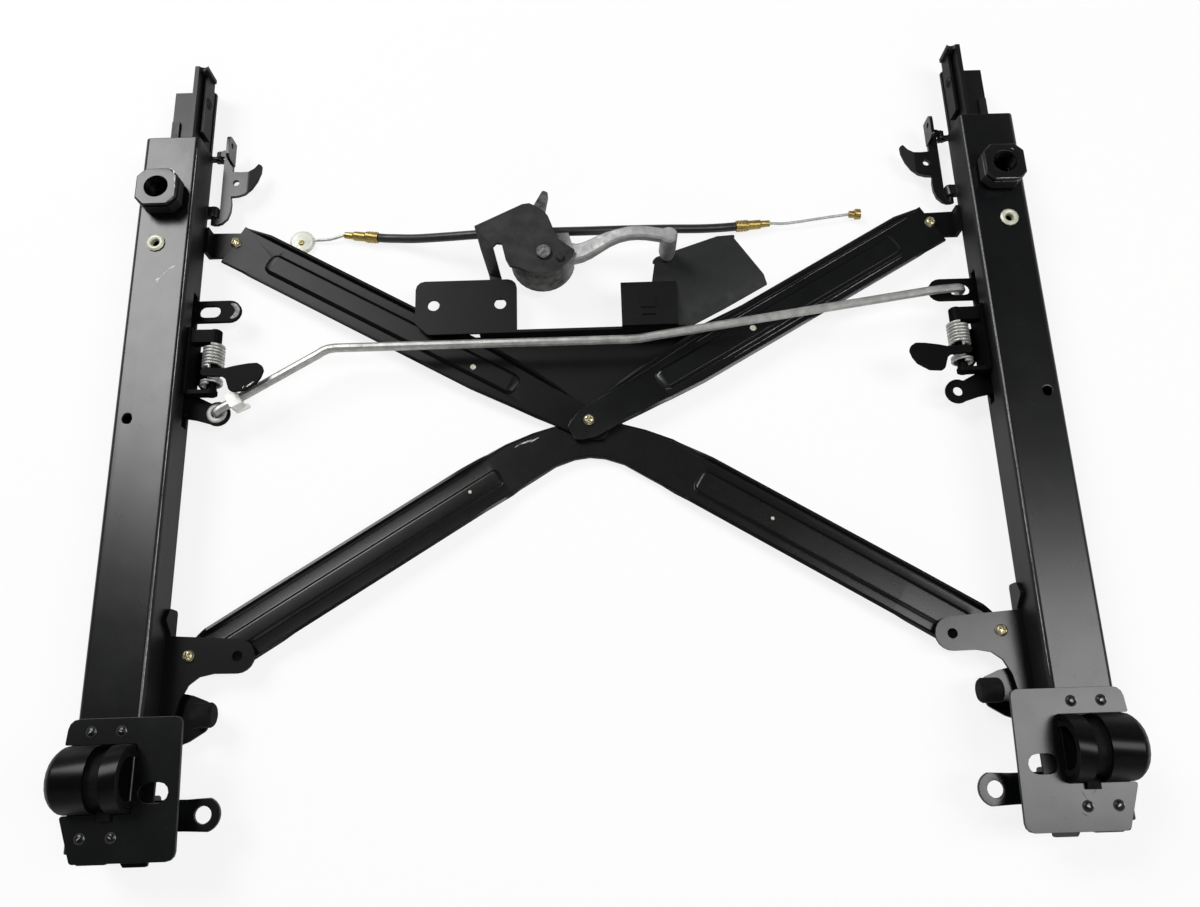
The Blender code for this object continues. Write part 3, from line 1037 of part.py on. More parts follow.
def cable():
    """Release cable: sheath, brass ends and inner wires, its middle held in the lever bracket."""
    black = material("cable_sheath", (0.02, 0.02, 0.02), 0.5, 0.0)
    steel = bright_zinc()
    routes = {"left": (LEFT_ROUTE, LEFT_WIRE), "right": (RIGHT_ROUTE, RIGHT_WIRE)}
    for label, (route, wire) in routes.items():
        line = smooth_path([spot(*p) for p in route], 4)
        cord(f"cable_sheath_{label}", line, SHEATH_RADIUS, black)
        tip, way = line[-1], (line[-1] - line[-2]).normalized()
        start = tip + way * FIT
        sections = [(0, 3.1), (7, 3.1), (7.6, 2.6), (14, 2.6), (14.6, 2.0), (19.6, 1.8)]
        spin = Vector((0, 0, 1)).rotation_difference(way).to_matrix().to_4x4()
        ferrule = turned([(0, 0)] + [(r, h) for h, r in sections] + [(0, 19.6)], (0, 0, 0), steps=12)
        bmesh.ops.transform(ferrule, matrix=Matrix.Translation(start) @ spin, verts=ferrule.verts)
        piece(f"ferrule_{label}", ferrule, brass())
        first = start + way * (19.6 + FIT)
        cord(f"cable_wire_{label}", smooth_path([first] + [spot(*p) for p in wire], 4), WIRE_RADIUS, steel)
    disc_x, disc_s, disc_z = LEFT_WIRE[-1]
    disc = turned([(0, 0), (6.2, 0), (7.0, 0.8), (7.0, 1.8), (6.0, 2.6), (2.2, 2.8), (0, 2.8)],
                  spot(disc_x - 5.6, disc_s + 1.0, 0.3), steps=16)
    leaf = block(disc_x - 13, disc_x - 4, disc_s + 7, disc_s + 10, 0.3, 1.9)
    passage = bar(spot(disc_x - 4.6, disc_s + 0.8, disc_z), spot(disc_x + 4, disc_s - 0.6, disc_z), WIRE_RADIUS + FIT)
    piece("cable_disc", disc, nylon(), add=[leaf], cut=[passage])
    nip_x, nip_s, nip_z = RIGHT_WIRE[-1]
    nipple = turned([(0, 0), (2.0, 0), (2.0, 3.0), (3.0, 3.4), (3.0, 6.4), (0, 6.4)], (0, 0, 0), "x", 12)
    bmesh.ops.translate(nipple, vec=spot(nip_x + FIT, nip_s, nip_z), verts=nipple.verts)
    piece("cable_nipple", nipple, brass())


LEFT_ROUTE = [(CABLE_SPLIT - FIT, CABLE_STATION, CABLE_LEVEL), (-47, CABLE_STATION, CABLE_LEVEL),
              (-60.5, 60.8, 19.0), (-76, 59.4, 15.2), (-94, 56.6, 9.2), (-106, 54.0, 5.4),
              (-112, 53.0, 4.2), (-116.5, 52.4, 4.0)]
LEFT_WIRE = [(-145, 51.5, 2.2), (-155, 51.6, 1.7)]
RIGHT_ROUTE = [(CABLE_SPLIT, CABLE_STATION, CABLE_LEVEL), (-20, CABLE_STATION, CABLE_LEVEL),
               (0, 60.9, 19.6), (22.5, 59.4, 17.0), (46, 57.0, 12.4), (66, 54.4, 7.0),
               (79, 52.7, 4.4), (86.6, 52.0, 4.0)]
RIGHT_WIRE = [(117, 50.4, 3.2), (139, 47.5, 3.2), (152, 46.0, 3.3)]


def build():
    for item in list(bpy.data.objects):
        bpy.data.objects.remove(item, do_unlink=True)
    for label, side in SIDES:
        for make in (upper_rail, lower_rail, ball_cage, rail_nut, eyelet, head_plate, saddle, saddle_liner,
                     ear_tab, ear_bracket, buffer, brace_tab, rocker, rocker_pin, horn_bracket, horn_lever,
                     latch_spring, bail):
            make(label, side)
        screw(f"ear_screw_{label}", *EAR_SCREW, EAR_LOW + EAR_GAUGE + FIT, 5.0, side)
        screw(f"arm_screw_{label}", *ARM_SCREW, ARM_LEVEL + BRACE_GAUGE + FIT, 1.0, side)
    brace_arms()
    brace_v()
    screw("pivot_screw", 0, PIVOT_STATION, CROSS_LEVEL + BRACE_GAUGE + FIT, 1.6)
    gusset()
    cable_bracket()
    lever_bracket()
    centre_lever()
    lever_pin()
    sync_rod()
    rod_clip()
    cable()


build()
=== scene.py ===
import math
import random

import bmesh
import bpy
from mathutils import Matrix, Vector


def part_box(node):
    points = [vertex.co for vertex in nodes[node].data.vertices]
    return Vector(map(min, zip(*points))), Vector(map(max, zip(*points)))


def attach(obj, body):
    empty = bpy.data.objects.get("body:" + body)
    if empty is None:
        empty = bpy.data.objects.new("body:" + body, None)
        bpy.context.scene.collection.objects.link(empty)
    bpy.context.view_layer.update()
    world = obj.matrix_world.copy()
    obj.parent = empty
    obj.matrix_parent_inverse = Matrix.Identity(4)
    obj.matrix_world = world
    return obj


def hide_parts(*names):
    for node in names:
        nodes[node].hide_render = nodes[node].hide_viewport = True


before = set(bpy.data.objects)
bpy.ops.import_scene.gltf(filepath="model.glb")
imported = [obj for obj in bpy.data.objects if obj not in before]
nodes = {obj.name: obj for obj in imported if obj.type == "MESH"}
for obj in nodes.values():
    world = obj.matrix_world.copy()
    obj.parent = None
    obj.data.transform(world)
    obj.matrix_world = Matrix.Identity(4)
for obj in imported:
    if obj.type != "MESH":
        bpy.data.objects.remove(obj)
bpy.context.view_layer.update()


# Camera: a 30 mm lens on a full-frame body, held above the near end of the rails
# and tipped a little towards the rear.
MM = 0.001
# Y of the rear end of the upper rails, in millimetres; places along the rails are given from here.
REAR = 165.5
camera_data = bpy.data.cameras.new("camera")
camera_data.lens = 30
camera_data.sensor_width = 36
camera_data.clip_start = 0.01
camera = bpy.data.objects.new("camera", camera_data)
camera.location = (0.0029, REAR * MM - 0.3406, 0.512)
camera.rotation_euler = (math.radians(17.04), math.radians(0.27), math.radians(-1.77))
scene = bpy.context.scene
scene.collection.objects.link(camera)
scene.camera = camera
scene.view_settings.view_transform = "Standard"


# Release cable: a steel wire in a black sheath, laid loose to both sides of the lever bracket.
# The sheath is vinyl over a wound steel liner and the wire is a thin strand; both bend stiffly.
def add(tree, kind, inputs=(), **settings):
    """Adds a shader node with its settings, and links or sets its inputs by name or number."""
    node = tree.nodes.new("ShaderNode" + kind)
    for key, value in settings.items():
        setattr(node, key, value)
    for key, value in dict(inputs).items():
        if isinstance(value, bpy.types.NodeSocket):
            tree.links.new(value, node.inputs[key])
        else:
            node.inputs[key].default_value = value
    return node


def linear(hex_colour):
    """An sRGB hex colour as linear RGBA."""
    parts = [int(hex_colour[i:i + 2], 16) / 255 for i in (1, 3, 5)]
    return (*[c / 12.92 if c <= 0.04045 else ((c + 0.055) / 1.055) ** 2.4 for c in parts], 1.0)


def new_material(name):
    """A material with its node tree, its shader and the object's own coordinates."""
    finish = bpy.data.materials.new(name)
    finish.use_nodes = True
    tree = finish.node_tree
    return finish, tree, tree.nodes["Principled BSDF"], add(tree, "TexCoord").outputs["Object"]


def blotches(tree, where, size_mm, low, high, detail=3.0):
    """Cloudy value from low to high, in spots of about size_mm."""
    noise = add(tree, "TexNoise", {"Vector": where, "Scale": 1000 / size_mm, "Detail": detail,
                                   "Roughness": 0.6})
    spread = add(tree, "MapRange", {"Value": noise.outputs[0], "From Min": 0.3, "From Max": 0.7,
                                    "To Min": low, "To Max": high})
    return spread.outputs[0]


def cloudy_plate(name, light, dark, roughness, metallic=1.0, spot_mm=4):
    """Plated or turned metal whose tone and gloss drift in small clouds."""
    finish, tree, shader, where = new_material(name)
    clouds = blotches(tree, where, spot_mm, 0.0, 1.0, 4.0)
    colour = add(tree, "Mix", {0: clouds, 6: linear(light), 7: linear(dark)}, data_type="RGBA")
    tree.links.new(colour.outputs[2], shader.inputs["Base Color"])
    tree.links.new(blotches(tree, where, 3, roughness - 0.05, roughness + 0.08), shader.inputs["Roughness"])
    shader.inputs["Metallic"].default_value = metallic
    return finish


def moulded(name, colour_hex, roughness, see_through=0.0, sheen=0.5):
    """Moulded plastic or rubber with the faint uneven gloss of the tool's surface."""
    finish, tree, shader, where = new_material(name)
    bloom = blotches(tree, where, 6, 0.0, 0.04)
    shade = add(tree, "Mix", {0: bloom, 6: linear(colour_hex), 7: linear("#6a6a66")}, data_type="RGBA")
    tree.links.new(shade.outputs[2], shader.inputs["Base Color"])
    tree.links.new(blotches(tree, where, 5, roughness - 0.05, roughness + 0.08), shader.inputs["Roughness"])
    shader.inputs["IOR"].default_value = 1.5
    shader.inputs["Specular IOR Level"].default_value = sheen
    shader.inputs["Transmission Weight"].default_value = see_through
    return finish


def spot(x, station, level):
    """Point in millimetres from X, distance forward from the rear end, and height."""
    return Vector((x, REAR - station, level))


def smooth_path(points, per_span):
    """Evenly bending path through the points."""
    ends = [Vector(points[0]) * 2 - Vector(points[1])] + [Vector(p) for p in points]
    ends.append(Vector(points[-1]) * 2 - Vector(points[-2]))
    out = []
    for a, b, c, d in zip(ends, ends[1:], ends[2:], ends[3:]):
        for k in range(per_span):
            t = k / per_span
            out.append(0.5 * (2 * b + (c - a) * t + (2 * a - 5 * b + 4 * c - d) * t * t
                              + (3 * b - a - 3 * c + d) * t ** 3))
    return out + [ends[-2]]


def tube(name, points, radius, finish, resolution=3):
    """Round wire or sheath along the points."""
    data = bpy.data.curves.new(name, "CURVE")
    data.dimensions = "3D"
    data.bevel_depth = radius * MM
    data.bevel_resolution = resolution
    data.use_fill_caps = True
    line = data.splines.new("POLY")
    line.points.add(len(points) - 1)
    for at, point in zip(line.points, points):
        at.co = (*(point * MM), 1)
    line.use_smooth = True
    data.materials.append(finish)
    item = bpy.data.objects.new(name, data)
    scene.collection.objects.link(item)
    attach(item, "frame")
    return item


SHEATH_RADIUS, WIRE_RADIUS = 2.5, 0.8
# Distance from the sheath's end to the place where the wire leaves its ferrule.
FERRULE_REACH = 20.2
# Each route lists X, distance forward from the rear end, and height of the middle of the cable.
LEFT_ROUTE = [(-38.3, 61, 20), (-47, 61, 20), (-60.5, 60.8, 19.0), (-76, 59.4, 15.2), (-94, 56.6, 9.2),
              (-106, 54.0, 5.4), (-112, 53.0, 4.2), (-116.5, 52.4, 4.0)]
RIGHT_ROUTE = [(-38, 61, 20), (-20, 61, 20), (0, 60.9, 19.6), (22.5, 59.4, 17.0), (46, 57.0, 12.4),
               (66, 54.4, 7.0), (79, 52.7, 4.4), (86.6, 52.0, 4.0)]
LEFT_WIRE = [(-145, 51.5, 2.2), (-155, 51.6, 1.7)]
RIGHT_WIRE = [(117, 50.4, 3.2), (139, 47.5, 3.2), (152, 46.0, 3.3)]
# Extruded vinyl: near black, with a soft streaky gloss along its top.
sheath_vinyl = moulded("extruded_vinyl", "#0c0c0d", 0.4)
# Zinc plated wire: pale grey and a little dull, so that it never flares.
wire_zinc = cloudy_plate("zinc_plated_wire", "#c9c9c6", "#9c9c99", 0.45, 0.75, 2)
cords = []
for side, route, wire in (("left", LEFT_ROUTE, LEFT_WIRE), ("right", RIGHT_ROUTE, RIGHT_WIRE)):
    line = smooth_path([spot(*p) for p in route], 5)
    sheath = tube(f"sheath_{side}", line, SHEATH_RADIUS, sheath_vinyl)
    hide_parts(f"cable_sheath_{side}")
    wire_start = line[-1] + (line[-1] - line[-2]).normalized() * FERRULE_REACH
    wire_line = smooth_path([wire_start] + [spot(*p) for p in wire], 4)
    strand = tube(f"wire_{side}", wire_line, WIRE_RADIUS, wire_zinc, 2)
    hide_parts(f"cable_wire_{side}")
    cords.append((sheath, line, [nodes[f"ferrule_{side}"], strand]))


# Cable ends: turned brass ferrules crimped on the sheaths, a brass nipple on the right wire
# and a clear nylon disc on the left one, moulded round a small brass barrel.
def ring(form, radius, height, steps, x=0.0, y=0.0):
    """Ring of vertices about an upright axis."""
    turns = [2 * math.pi * k / steps for k in range(steps)]
    return [form.verts.new((x + radius * math.cos(a), y + radius * math.sin(a), height)) for a in turns]


def skin(form, rings):
    """Walls between neighbouring rings."""
    for low, high in zip(rings, rings[1:]):
        for k in range(len(low)):
            form.faces.new((low[k - 1], low[k], high[k], high[k - 1]))


def placed(name, form, finish, body, smooth=True):
    """Object of a finished form, riding on a body."""
    mesh = bpy.data.meshes.new(name)
    form.to_mesh(mesh)
    form.free()
    for face in mesh.polygons:
        face.use_smooth = smooth
    mesh.materials.append(finish)
    item = bpy.data.objects.new(name, mesh)
    scene.collection.objects.link(item)
    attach(item, body)
    return item


def spun(name, profile, centre, finish, body, axis=(0, 0, 1), steps=32):
    """Solid turned from a closed profile of radius and height pairs about an axis through centre."""
    form = bmesh.new()
    rings = [ring(form, radius, height, steps) for radius, height in profile]
    skin(form, rings + rings[:1])
    spin = Vector((0, 0, 1)).rotation_difference(Vector(axis)).to_matrix().to_4x4()
    shift = Matrix.Scale(MM, 4) @ Matrix.Translation(centre) @ spin
    bmesh.ops.transform(form, matrix=shift, verts=form.verts)
    bmesh.ops.recalc_face_normals(form, faces=form.faces)
    return placed(name, form, finish, body)


# Edges are eased by a small bevel; a fold of less than 34 degrees is shaded round.
FOLD_LIMIT, BEVEL_LIMIT = math.radians(34), math.radians(38)
soften = bpy.data.node_groups.new("soft_edges", "GeometryNodeTree")
soften.interface.new_socket("Geometry", in_out="INPUT", socket_type="NodeSocketGeometry")
soften.interface.new_socket("Geometry", in_out="OUTPUT", socket_type="NodeSocketGeometry")
whole = soften.nodes.new("NodeGroupInput")
fold = soften.nodes.new("GeometryNodeInputMeshEdgeAngle")
shallow = soften.nodes.new("FunctionNodeCompare")
shallow.operation = "LESS_THAN"
shallow.inputs[1].default_value = FOLD_LIMIT
faces = soften.nodes.new("GeometryNodeSetShadeSmooth")
edges = soften.nodes.new("GeometryNodeSetShadeSmooth")
edges.domain = "EDGE"
done = soften.nodes.new("NodeGroupOutput")
soften.links.new(fold.outputs["Unsigned Angle"], shallow.inputs[0])
soften.links.new(whole.outputs[0], faces.inputs["Geometry"])
soften.links.new(faces.outputs[0], edges.inputs["Geometry"])
soften.links.new(shallow.outputs[0], edges.inputs["Shade Smooth"])
soften.links.new(edges.outputs[0], done.inputs[0])


def ease(item, bevel, clamp=True):
    """Small rounding of a piece's edges, and round shading across its shallow folds."""
    weld = item.modifiers.new("weld", "WELD")
    weld.merge_threshold = 0.01 * MM
    if bevel:
        edge = item.modifiers.new("edge", "BEVEL")
        edge.width = bevel * MM
        edge.segments = 2
        edge.limit_method = "ANGLE"
        edge.angle_limit = BEVEL_LIMIT
        edge.use_clamp_overlap = clamp
    item.modifiers.new("soften", "NODES").node_group = soften
    item.modifiers.new("level", "WEIGHTED_NORMAL").keep_sharp = True


def dress(name, finish, bevel=0.35, clamp=True):
    """Gives a solid its finish and eases its edges."""
    item = nodes[name]
    item.data.materials.clear()
    item.data.materials.append(finish)
    ease(item, bevel, clamp)


# Turned brass: a dull olive gold with darker clouds, crimped and left unpolished.
brass = cloudy_plate("turned_brass", "#b29c5e", "#8c7a45", 0.36)
for name in ("ferrule_left", "ferrule_right", "cable_nipple"):
    dress(name, brass, 0.2)
crimp = [(3.12, -0.45), (3.3, -0.3), (3.3, 0.3), (3.12, 0.45)]
for sheath, line, on_it in cords:
    way = (line[-1] - line[-2]).normalized()
    for k, reach in enumerate((1.9, 3.7, 5.5)):
        on_it.append(spun(f"{sheath.name}_crimp_{k}", crimp, line[-1] + way * reach, brass, "frame",
                          way, 6))
# Natural nylon, thin enough to pass light: milky white with a faint green cast.
clear_nylon = moulded("clear_nylon", "#eff1e4", 0.3, 0.5)
dress("cable_disc", clear_nylon, 0.15)
low, high = [Vector(corner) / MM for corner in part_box("cable_disc")]
barrel = [(0.5, 0.0), (1.5, 0.0), (1.7, 0.4), (1.7, 0.7), (1.1, 1.1), (0.5, 1.1)]
barrel_foot = Vector(((low.x + high.x) / 2, (low.y + high.y) / 2, high.z - 0.6))
cords[0][2].append(spun("disc_barrel", barrel, barrel_foot, brass, "frame"))


# Table top and room: a plain white floor that sweeps up into a wall and keeps a soft contact shadow.
# It glows for the camera, so that it shows white, and a little in the gloss of the paint.
SEEN_WHITE, MIRRORED_WHITE = 0.84, 0.35
table_top, tree, shader, where = new_material("white_table_top")
shader.inputs["Base Color"].default_value = linear("#f4f4f3")
shader.inputs["Roughness"].default_value = 0.8
shader.inputs["Specular IOR Level"].default_value = 0.1
path = add(tree, "LightPath").outputs
mirrored = add(tree, "Math", {0: path["Is Glossy Ray"], 1: path["Is Transmission Ray"]}, operation="MAXIMUM")
mirrored = add(tree, "Math", {0: mirrored.outputs[0], 1: MIRRORED_WHITE}, operation="MULTIPLY")
share = add(tree, "Math", {0: path["Is Camera Ray"], 1: SEEN_WHITE, 2: mirrored.outputs[0]},
            operation="MULTIPLY_ADD")
glow = add(tree, "Emission", {"Color": (1, 1, 1, 1), "Strength": 1.0})
blend = add(tree, "MixShader", {0: share.outputs[0], 1: shader.outputs[0], 2: glow.outputs[0]})
tree.links.new(blend.outputs[0], tree.nodes["Material Output"].inputs["Surface"])
form = bmesh.new()
sweep = [(5.0, 0.0), (5.6, 0.12), (6.1, 0.5), (6.4, 1.1), (6.5, 2.0), (6.5, 6.0)]
rows = [ring(form, radius, height, 64) for radius, height in sweep]
form.faces.new(rows[0])
skin(form, rows)
bmesh.ops.recalc_face_normals(form, faces=form.faces)
mesh = bpy.data.meshes.new("table_top")
form.to_mesh(mesh)
form.free()
for face in mesh.polygons:
    face.use_smooth = True
mesh.materials.append(table_top)
table = bpy.data.objects.new("table_top", mesh)
table.location = (0, 0, -0.0004)
scene.collection.objects.link(table)
world = bpy.data.worlds.new("pale_room")
world.use_nodes = True
world.node_tree.nodes["Background"].inputs["Color"].default_value = linear("#ffffff")
world.node_tree.nodes["Background"].inputs["Strength"].default_value = 0.08
scene.world = world


# Lamps: a softbox behind the left rail that its top face mirrors, a second one over the right rail's
# near half, and a weak fill from the front.
def softbox(name, place, aim, width, depth, power):
    """Rectangular lamp in metres and watts, turned towards its aim."""
    lamp = bpy.data.lights.new(name, "AREA")
    lamp.shape = "RECTANGLE"
    lamp.size = width
    lamp.size_y = depth
    lamp.energy = power
    item = bpy.data.objects.new(name, lamp)
    item.location = place
    item.rotation_euler = (Vector(aim) - Vector(place)).to_track_quat("-Z", "Y").to_euler()
    scene.collection.objects.link(item)


softbox("left_softbox", (-0.95, 0.86, 1.5), (-0.1, 0, 0), 0.7, 0.95, 27)
softbox("right_softbox", (0.93, -0.13, 1.5), (0.1, -0.1, 0), 0.5, 1.0, 15)
softbox("front_fill", (0, -1.7, 0.7), (0, 0, 0), 1.4, 0.4, 4)


# Upper rails: folded steel channels, degreased and dip painted in black, then stoved.
# The paint carries a few nicks from handling, and along each top fold a broken pale line of painted
# highlight.
RAIL_TOP, FOLD_X = 30, 213.7


def uneven(tree, where, size_mm, strength, detail=3.0):
    """Shading normal of a surface with low bumps about size_mm wide."""
    noise = add(tree, "TexNoise", {"Vector": where, "Scale": 1000 / size_mm, "Detail": detail})
    bump = add(tree, "Bump", {"Strength": strength, "Distance": 0.0001, "Height": noise.outputs[0]})
    return bump.outputs[0]


def dip_paint(name, body_hex, roughness, gloss=0.42, dust=1.0):
    """Black dip paint: an even film on the flats, duller down the flanks, with a few pale specks."""
    finish, tree, shader, where = new_material(name)
    drift = blotches(tree, where, 45, 0.0, 0.5, 2.0)
    colour = add(tree, "Mix", {0: drift, 6: linear(body_hex), 7: linear("#101113")}, data_type="RGBA")
    specks = add(tree, "TexNoise", {"Vector": where, "Scale": 1000 / 5.0, "Detail": 5.0, "Roughness": 0.7})
    dusty = add(tree, "MapRange", {"Value": specks.outputs[0], "From Min": 0.69, "From Max": 0.78,
                                   "To Min": 0.0, "To Max": 0.5 * dust})
    base = add(tree, "Mix", {0: dusty.outputs[0], 6: colour.outputs[2], 7: linear("#5d5e60")},
               data_type="RGBA")
    tree.links.new(base.outputs[2], shader.inputs["Base Color"])
    film = blotches(tree, where, 14, roughness - 0.012, roughness + 0.018)
    facing = add(tree, "SeparateXYZ", {0: add(tree, "NewGeometry").outputs["Normal"]}).outputs[2]
    flank = add(tree, "MapRange", {"Value": facing, "From Min": 0.5, "From Max": 0.9,
                                   "To Min": 0.25, "To Max": 0.0})
    dull = add(tree, "Math", {0: film, 1: flank.outputs[0]}, operation="ADD")
    tree.links.new(dull.outputs[0], shader.inputs["Roughness"])
    tree.links.new(uneven(tree, where, 0.9, 0.05, 2.0), shader.inputs["Normal"])
    shader.inputs["IOR"].default_value = 1.5
    shader.inputs["Specular IOR Level"].default_value = gloss
    return finish


def face_up(form):
    """Turns the flat flecks of a form towards the sky."""
    bmesh.ops.recalc_face_normals(form, faces=form.faces)
    if sum(face.normal.z for face in form.faces) < 0:
        bmesh.ops.reverse_faces(form, faces=form.faces)


def marks(name, strokes, finish, body, seed):
    """Nicks, scratches and painted highlight lines: thin ragged flecks just proud of the paint, with ends,
    width and level for each.
    """
    pick = random.Random(seed)
    form = bmesh.new()
    for (x0, s0), (x1, s1), width, level in strokes:
        start, end = spot(x0, s0, level + 0.03), spot(x1, s1, level + 0.03)
        across = (end - start).cross(Vector((0, 0, 1))).normalized()
        left, right = [], []
        steps = max(5, int((end - start).length / 0.5))
        for k in range(steps + 1):
            t = k / steps
            half = width / 2 * math.sin(math.pi * min(max(t, 0.04), 0.96)) ** 0.6 * pick.uniform(0.5, 1.0)
            drift = across * pick.uniform(-0.12, 0.12) * width
            at = start.lerp(end, t) + drift
            left.append(form.verts.new((at + across * half) * MM))
            right.append(form.verts.new((at - across * half) * MM))
        for k in range(steps):
            form.faces.new((right[k], right[k + 1], left[k + 1], left[k]))
    face_up(form)
    return placed(name, form, finish, body, False)


# Stoved dip paint: black that turns grey only where it mirrors a lamp.
rail_paint = dip_paint("stoved_dip_paint", "#060708", 0.26)
# The same paint laid thinner on rough pressings: darker and less glossy.
thin_paint = dip_paint("thin_dip_paint", "#070708", 0.34, 0.16)
# Sooty film of old paint and grease on the small moving levers: it hardly shines at all.
sooty_paint = dip_paint("sooty_dip_paint", "#060606", 0.5, 0.05)
# Bare steel under a nick: pale and matt; the same finish draws the painted highlight line on the right nut.
bare_steel_and_highlight = cloudy_plate("bare_steel_and_highlight", "#d8d8d4", "#8f8f8c", 0.55, 0.3, 1)
# Painted highlight along a fold: a broken line of pale grey.
painted_fold_highlight = cloudy_plate("painted_fold_highlight", "#b4b5b7", "#5e5f61", 0.6, 0.2, 2)
for side in ("left", "right"):
    dress(f"upper_rail_{side}", rail_paint, 0.7, False)
marks("rail_nicks_left", [((-228.9, 88.6), (-226.8, 87.2), 1.2, RAIL_TOP),
                          ((-222.4, 82.0), (-219.2, 80.2), 0.8, RAIL_TOP),
                          ((-226.6, 86.8), (-222.6, 82.4), 0.25, RAIL_TOP),
                          ((-228.0, 90.0), (-227.6, 88.4), 0.5, RAIL_TOP)], bare_steel_and_highlight, "frame", 3)
# A pale line along the top fold of each rail: painted highlight.
for side, x in (("left", -FOLD_X), ("right", FOLD_X)):
    highlight_strokes = [((x, 8 + 50 * k), (x, 57 + 50 * k + k % 3), 0.5, RAIL_TOP) for k in range(6)]
    marks(f"fold_rub_{side}", highlight_strokes, painted_fold_highlight, "frame", 5)


# Lower rails: roll formed from the same steel, phosphated and thinly painted, as they run in grease.
# The ball cages between them and the upper rails are moulded in black nylon.
# Greased thin paint: a shade lighter than the stoved film, with a broader, weaker shine.
runner_paint = dip_paint("greasy_thin_paint", "#0b0c0c", 0.36, 0.3)
# Black nylon: charcoal with a waxy sheen.
black_nylon = moulded("black_nylon", "#101011", 0.4, 0.0, 0.3)
for side in ("left", "right"):
    dress(f"lower_rail_{side}", runner_paint, 0.3)
    dress(f"ball_cage_{side}", black_nylon, 0.2)


# Rail nuts: hot forged square nuts with cut corners, tapped, welded on and painted with the rail.
# Their upper edges are chipped by the spanner, the right nut's near top edge carries a pale line of painted
# highlight, and the thread shows in the bore.
NUT_X, NUT_STATION, NUT_TOP = 229.0, 38.2, 41.3
THREAD_START, THREAD_PITCH = 31.8, 1.35
# Painted forging: the rail's black over a rougher skin.
forged = dip_paint("painted_forging", "#08090a", 0.28, 0.42)
# Oiled thread: dark steel that glints at its crests.
oiled_steel = cloudy_plate("oiled_thread", "#262624", "#0b0b0b", 0.3, 1.0, 2)
crest = [(6.5, -0.5), (6.05, -0.08), (6.05, 0.08), (6.5, 0.5)]
for side, x in (("left", -NUT_X), ("right", NUT_X)):
    dress(f"rail_nut_{side}", forged, 0.5)
    for k in range(7):
        level = THREAD_START + THREAD_PITCH * k
        spun(f"nut_thread_{side}_{k}", crest, spot(x, NUT_STATION, level), oiled_steel, "frame")
marks("nut_chips_left", [((-220.6, 28.4), (-219.6, 31.0), 0.9, NUT_TOP),
                         ((-219.6, 32.6), (-218.9, 36.0), 0.7, NUT_TOP),
                         ((-219.0, 37.4), (-218.6, 39.6), 0.5, NUT_TOP),
                         ((-222.6, 28.0), (-221.2, 27.6), 0.6, NUT_TOP)], bare_steel_and_highlight, "frame", 8)
# On the right nut, the long pale line along the near top edge is painted highlight; the short mark is a
# chip.
marks("nut_chip_and_edge_highlight_right", [((224.0, 48.6), (232.0, 48.8), 0.35, NUT_TOP),
                          ((233.0, 30.4), (234.4, 31.4), 0.5, NUT_TOP)], bare_steel_and_highlight, "frame", 9)


# Eyelets: tubular steel rivets, rolled over and plated in zinc nickel.
# The plating is a matt cream grey, cloudy where it was rolled.
lip_plate = cloudy_plate("zinc_nickel_plate", "#d6d6c4", "#b3b3a0", 0.5, 0.35, 3)
for side in ("left", "right"):
    dress(f"eyelet_{side}", lip_plate, 0.15)


# Head plates: flat pressings held by four stakes each, painted after staking.
# Each stake is a punched stud with a scuffed dark ring round it and torn specks on top.
PLATE_TOP, RING_TOP, STAKE_TOP = 34.4, 34.8, 35.32
STAKES = [(219.5, 321.0), (233.5, 321.0), (219.5, 367.2), (233.5, 367.2)]
# Scuffed paint: grey black, dead matt, where the punch dragged it.
scuffed = cloudy_plate("scuffed_stake", "#2c2c2c", "#0c0c0c", 0.6, 0.2, 0.8)
scuffed_ring = [(1.9, 0.0), (2.7, 0.0), (2.55, 0.22), (2.2, 0.34), (1.9, 0.2)]
for side, sign in (("left", -1), ("right", 1)):
    dress(f"head_plate_{side}", rail_paint, 0.4)
    torn = []
    for k, (x, station) in enumerate(STAKES):
        x *= sign
        spun(f"stake_ring_{side}_{k}", scuffed_ring, spot(x, station, PLATE_TOP + 0.02), scuffed, "frame",
             steps=14)
        lean = 0.5 if k % 2 else -0.4
        torn.append(((x - 0.9, station + lean), (x + 0.6, station - lean), 0.45, STAKE_TOP))
        torn.append(((x + 1.9, station - 1.2), (x + 2.6, station + 0.6), 0.3, RING_TOP))
    marks(f"stake_specks_{side}", torn, bare_steel_and_highlight, "frame", 14)
marks("plate_scratches_right", [((220.6, 366.0), (217.6, 360.4), 0.3, PLATE_TOP),
                                ((222.4, 362.0), (224.4, 360.2), 0.3, PLATE_TOP),
                                ((216.0, 369.8), (219.0, 371.6), 0.3, PLATE_TOP)], scuffed, "frame", 21)


# Saddles: two half-round knuckles drawn from one strip, held under the head plate by its stakes;
# each pair has a moulded black liner for the seat's pivot tube.
# Matt black nylon: soaks up the light, so that the bore reads as a dark hole.
liner_nylon = moulded("matt_black_nylon", "#080808", 0.62, 0.0, 0.08)
# Thick paint, flowed out smooth on the round: the deepest black, with narrow soft highlights.
knuckle_paint = dip_paint("thick_gloss_paint", "#040405", 0.24, 0.12, 0.5)
for side in ("left", "right"):
    dress(f"saddle_{side}", knuckle_paint, 0.4)
    dress(f"saddle_liner_{side}", liner_nylon, 0.3)


# Ear brackets, ear tabs and buffers: pressed ears that carry the ends of the front brace.
# A black dished disc sits down in the small hole of each ear as painted shade for the dark hole; the buffers
# are moulded rubber.
EAR_HOLE_X, EAR_HOLE_STATION, HOLE_SHADE_FOOT = 176.8, 286.0, 9.95
# Moulded rubber: soft black without any highlight.
buffer_rubber = moulded("buffer_rubber", "#0a0a0a", 0.85, 0.0, 0.15)
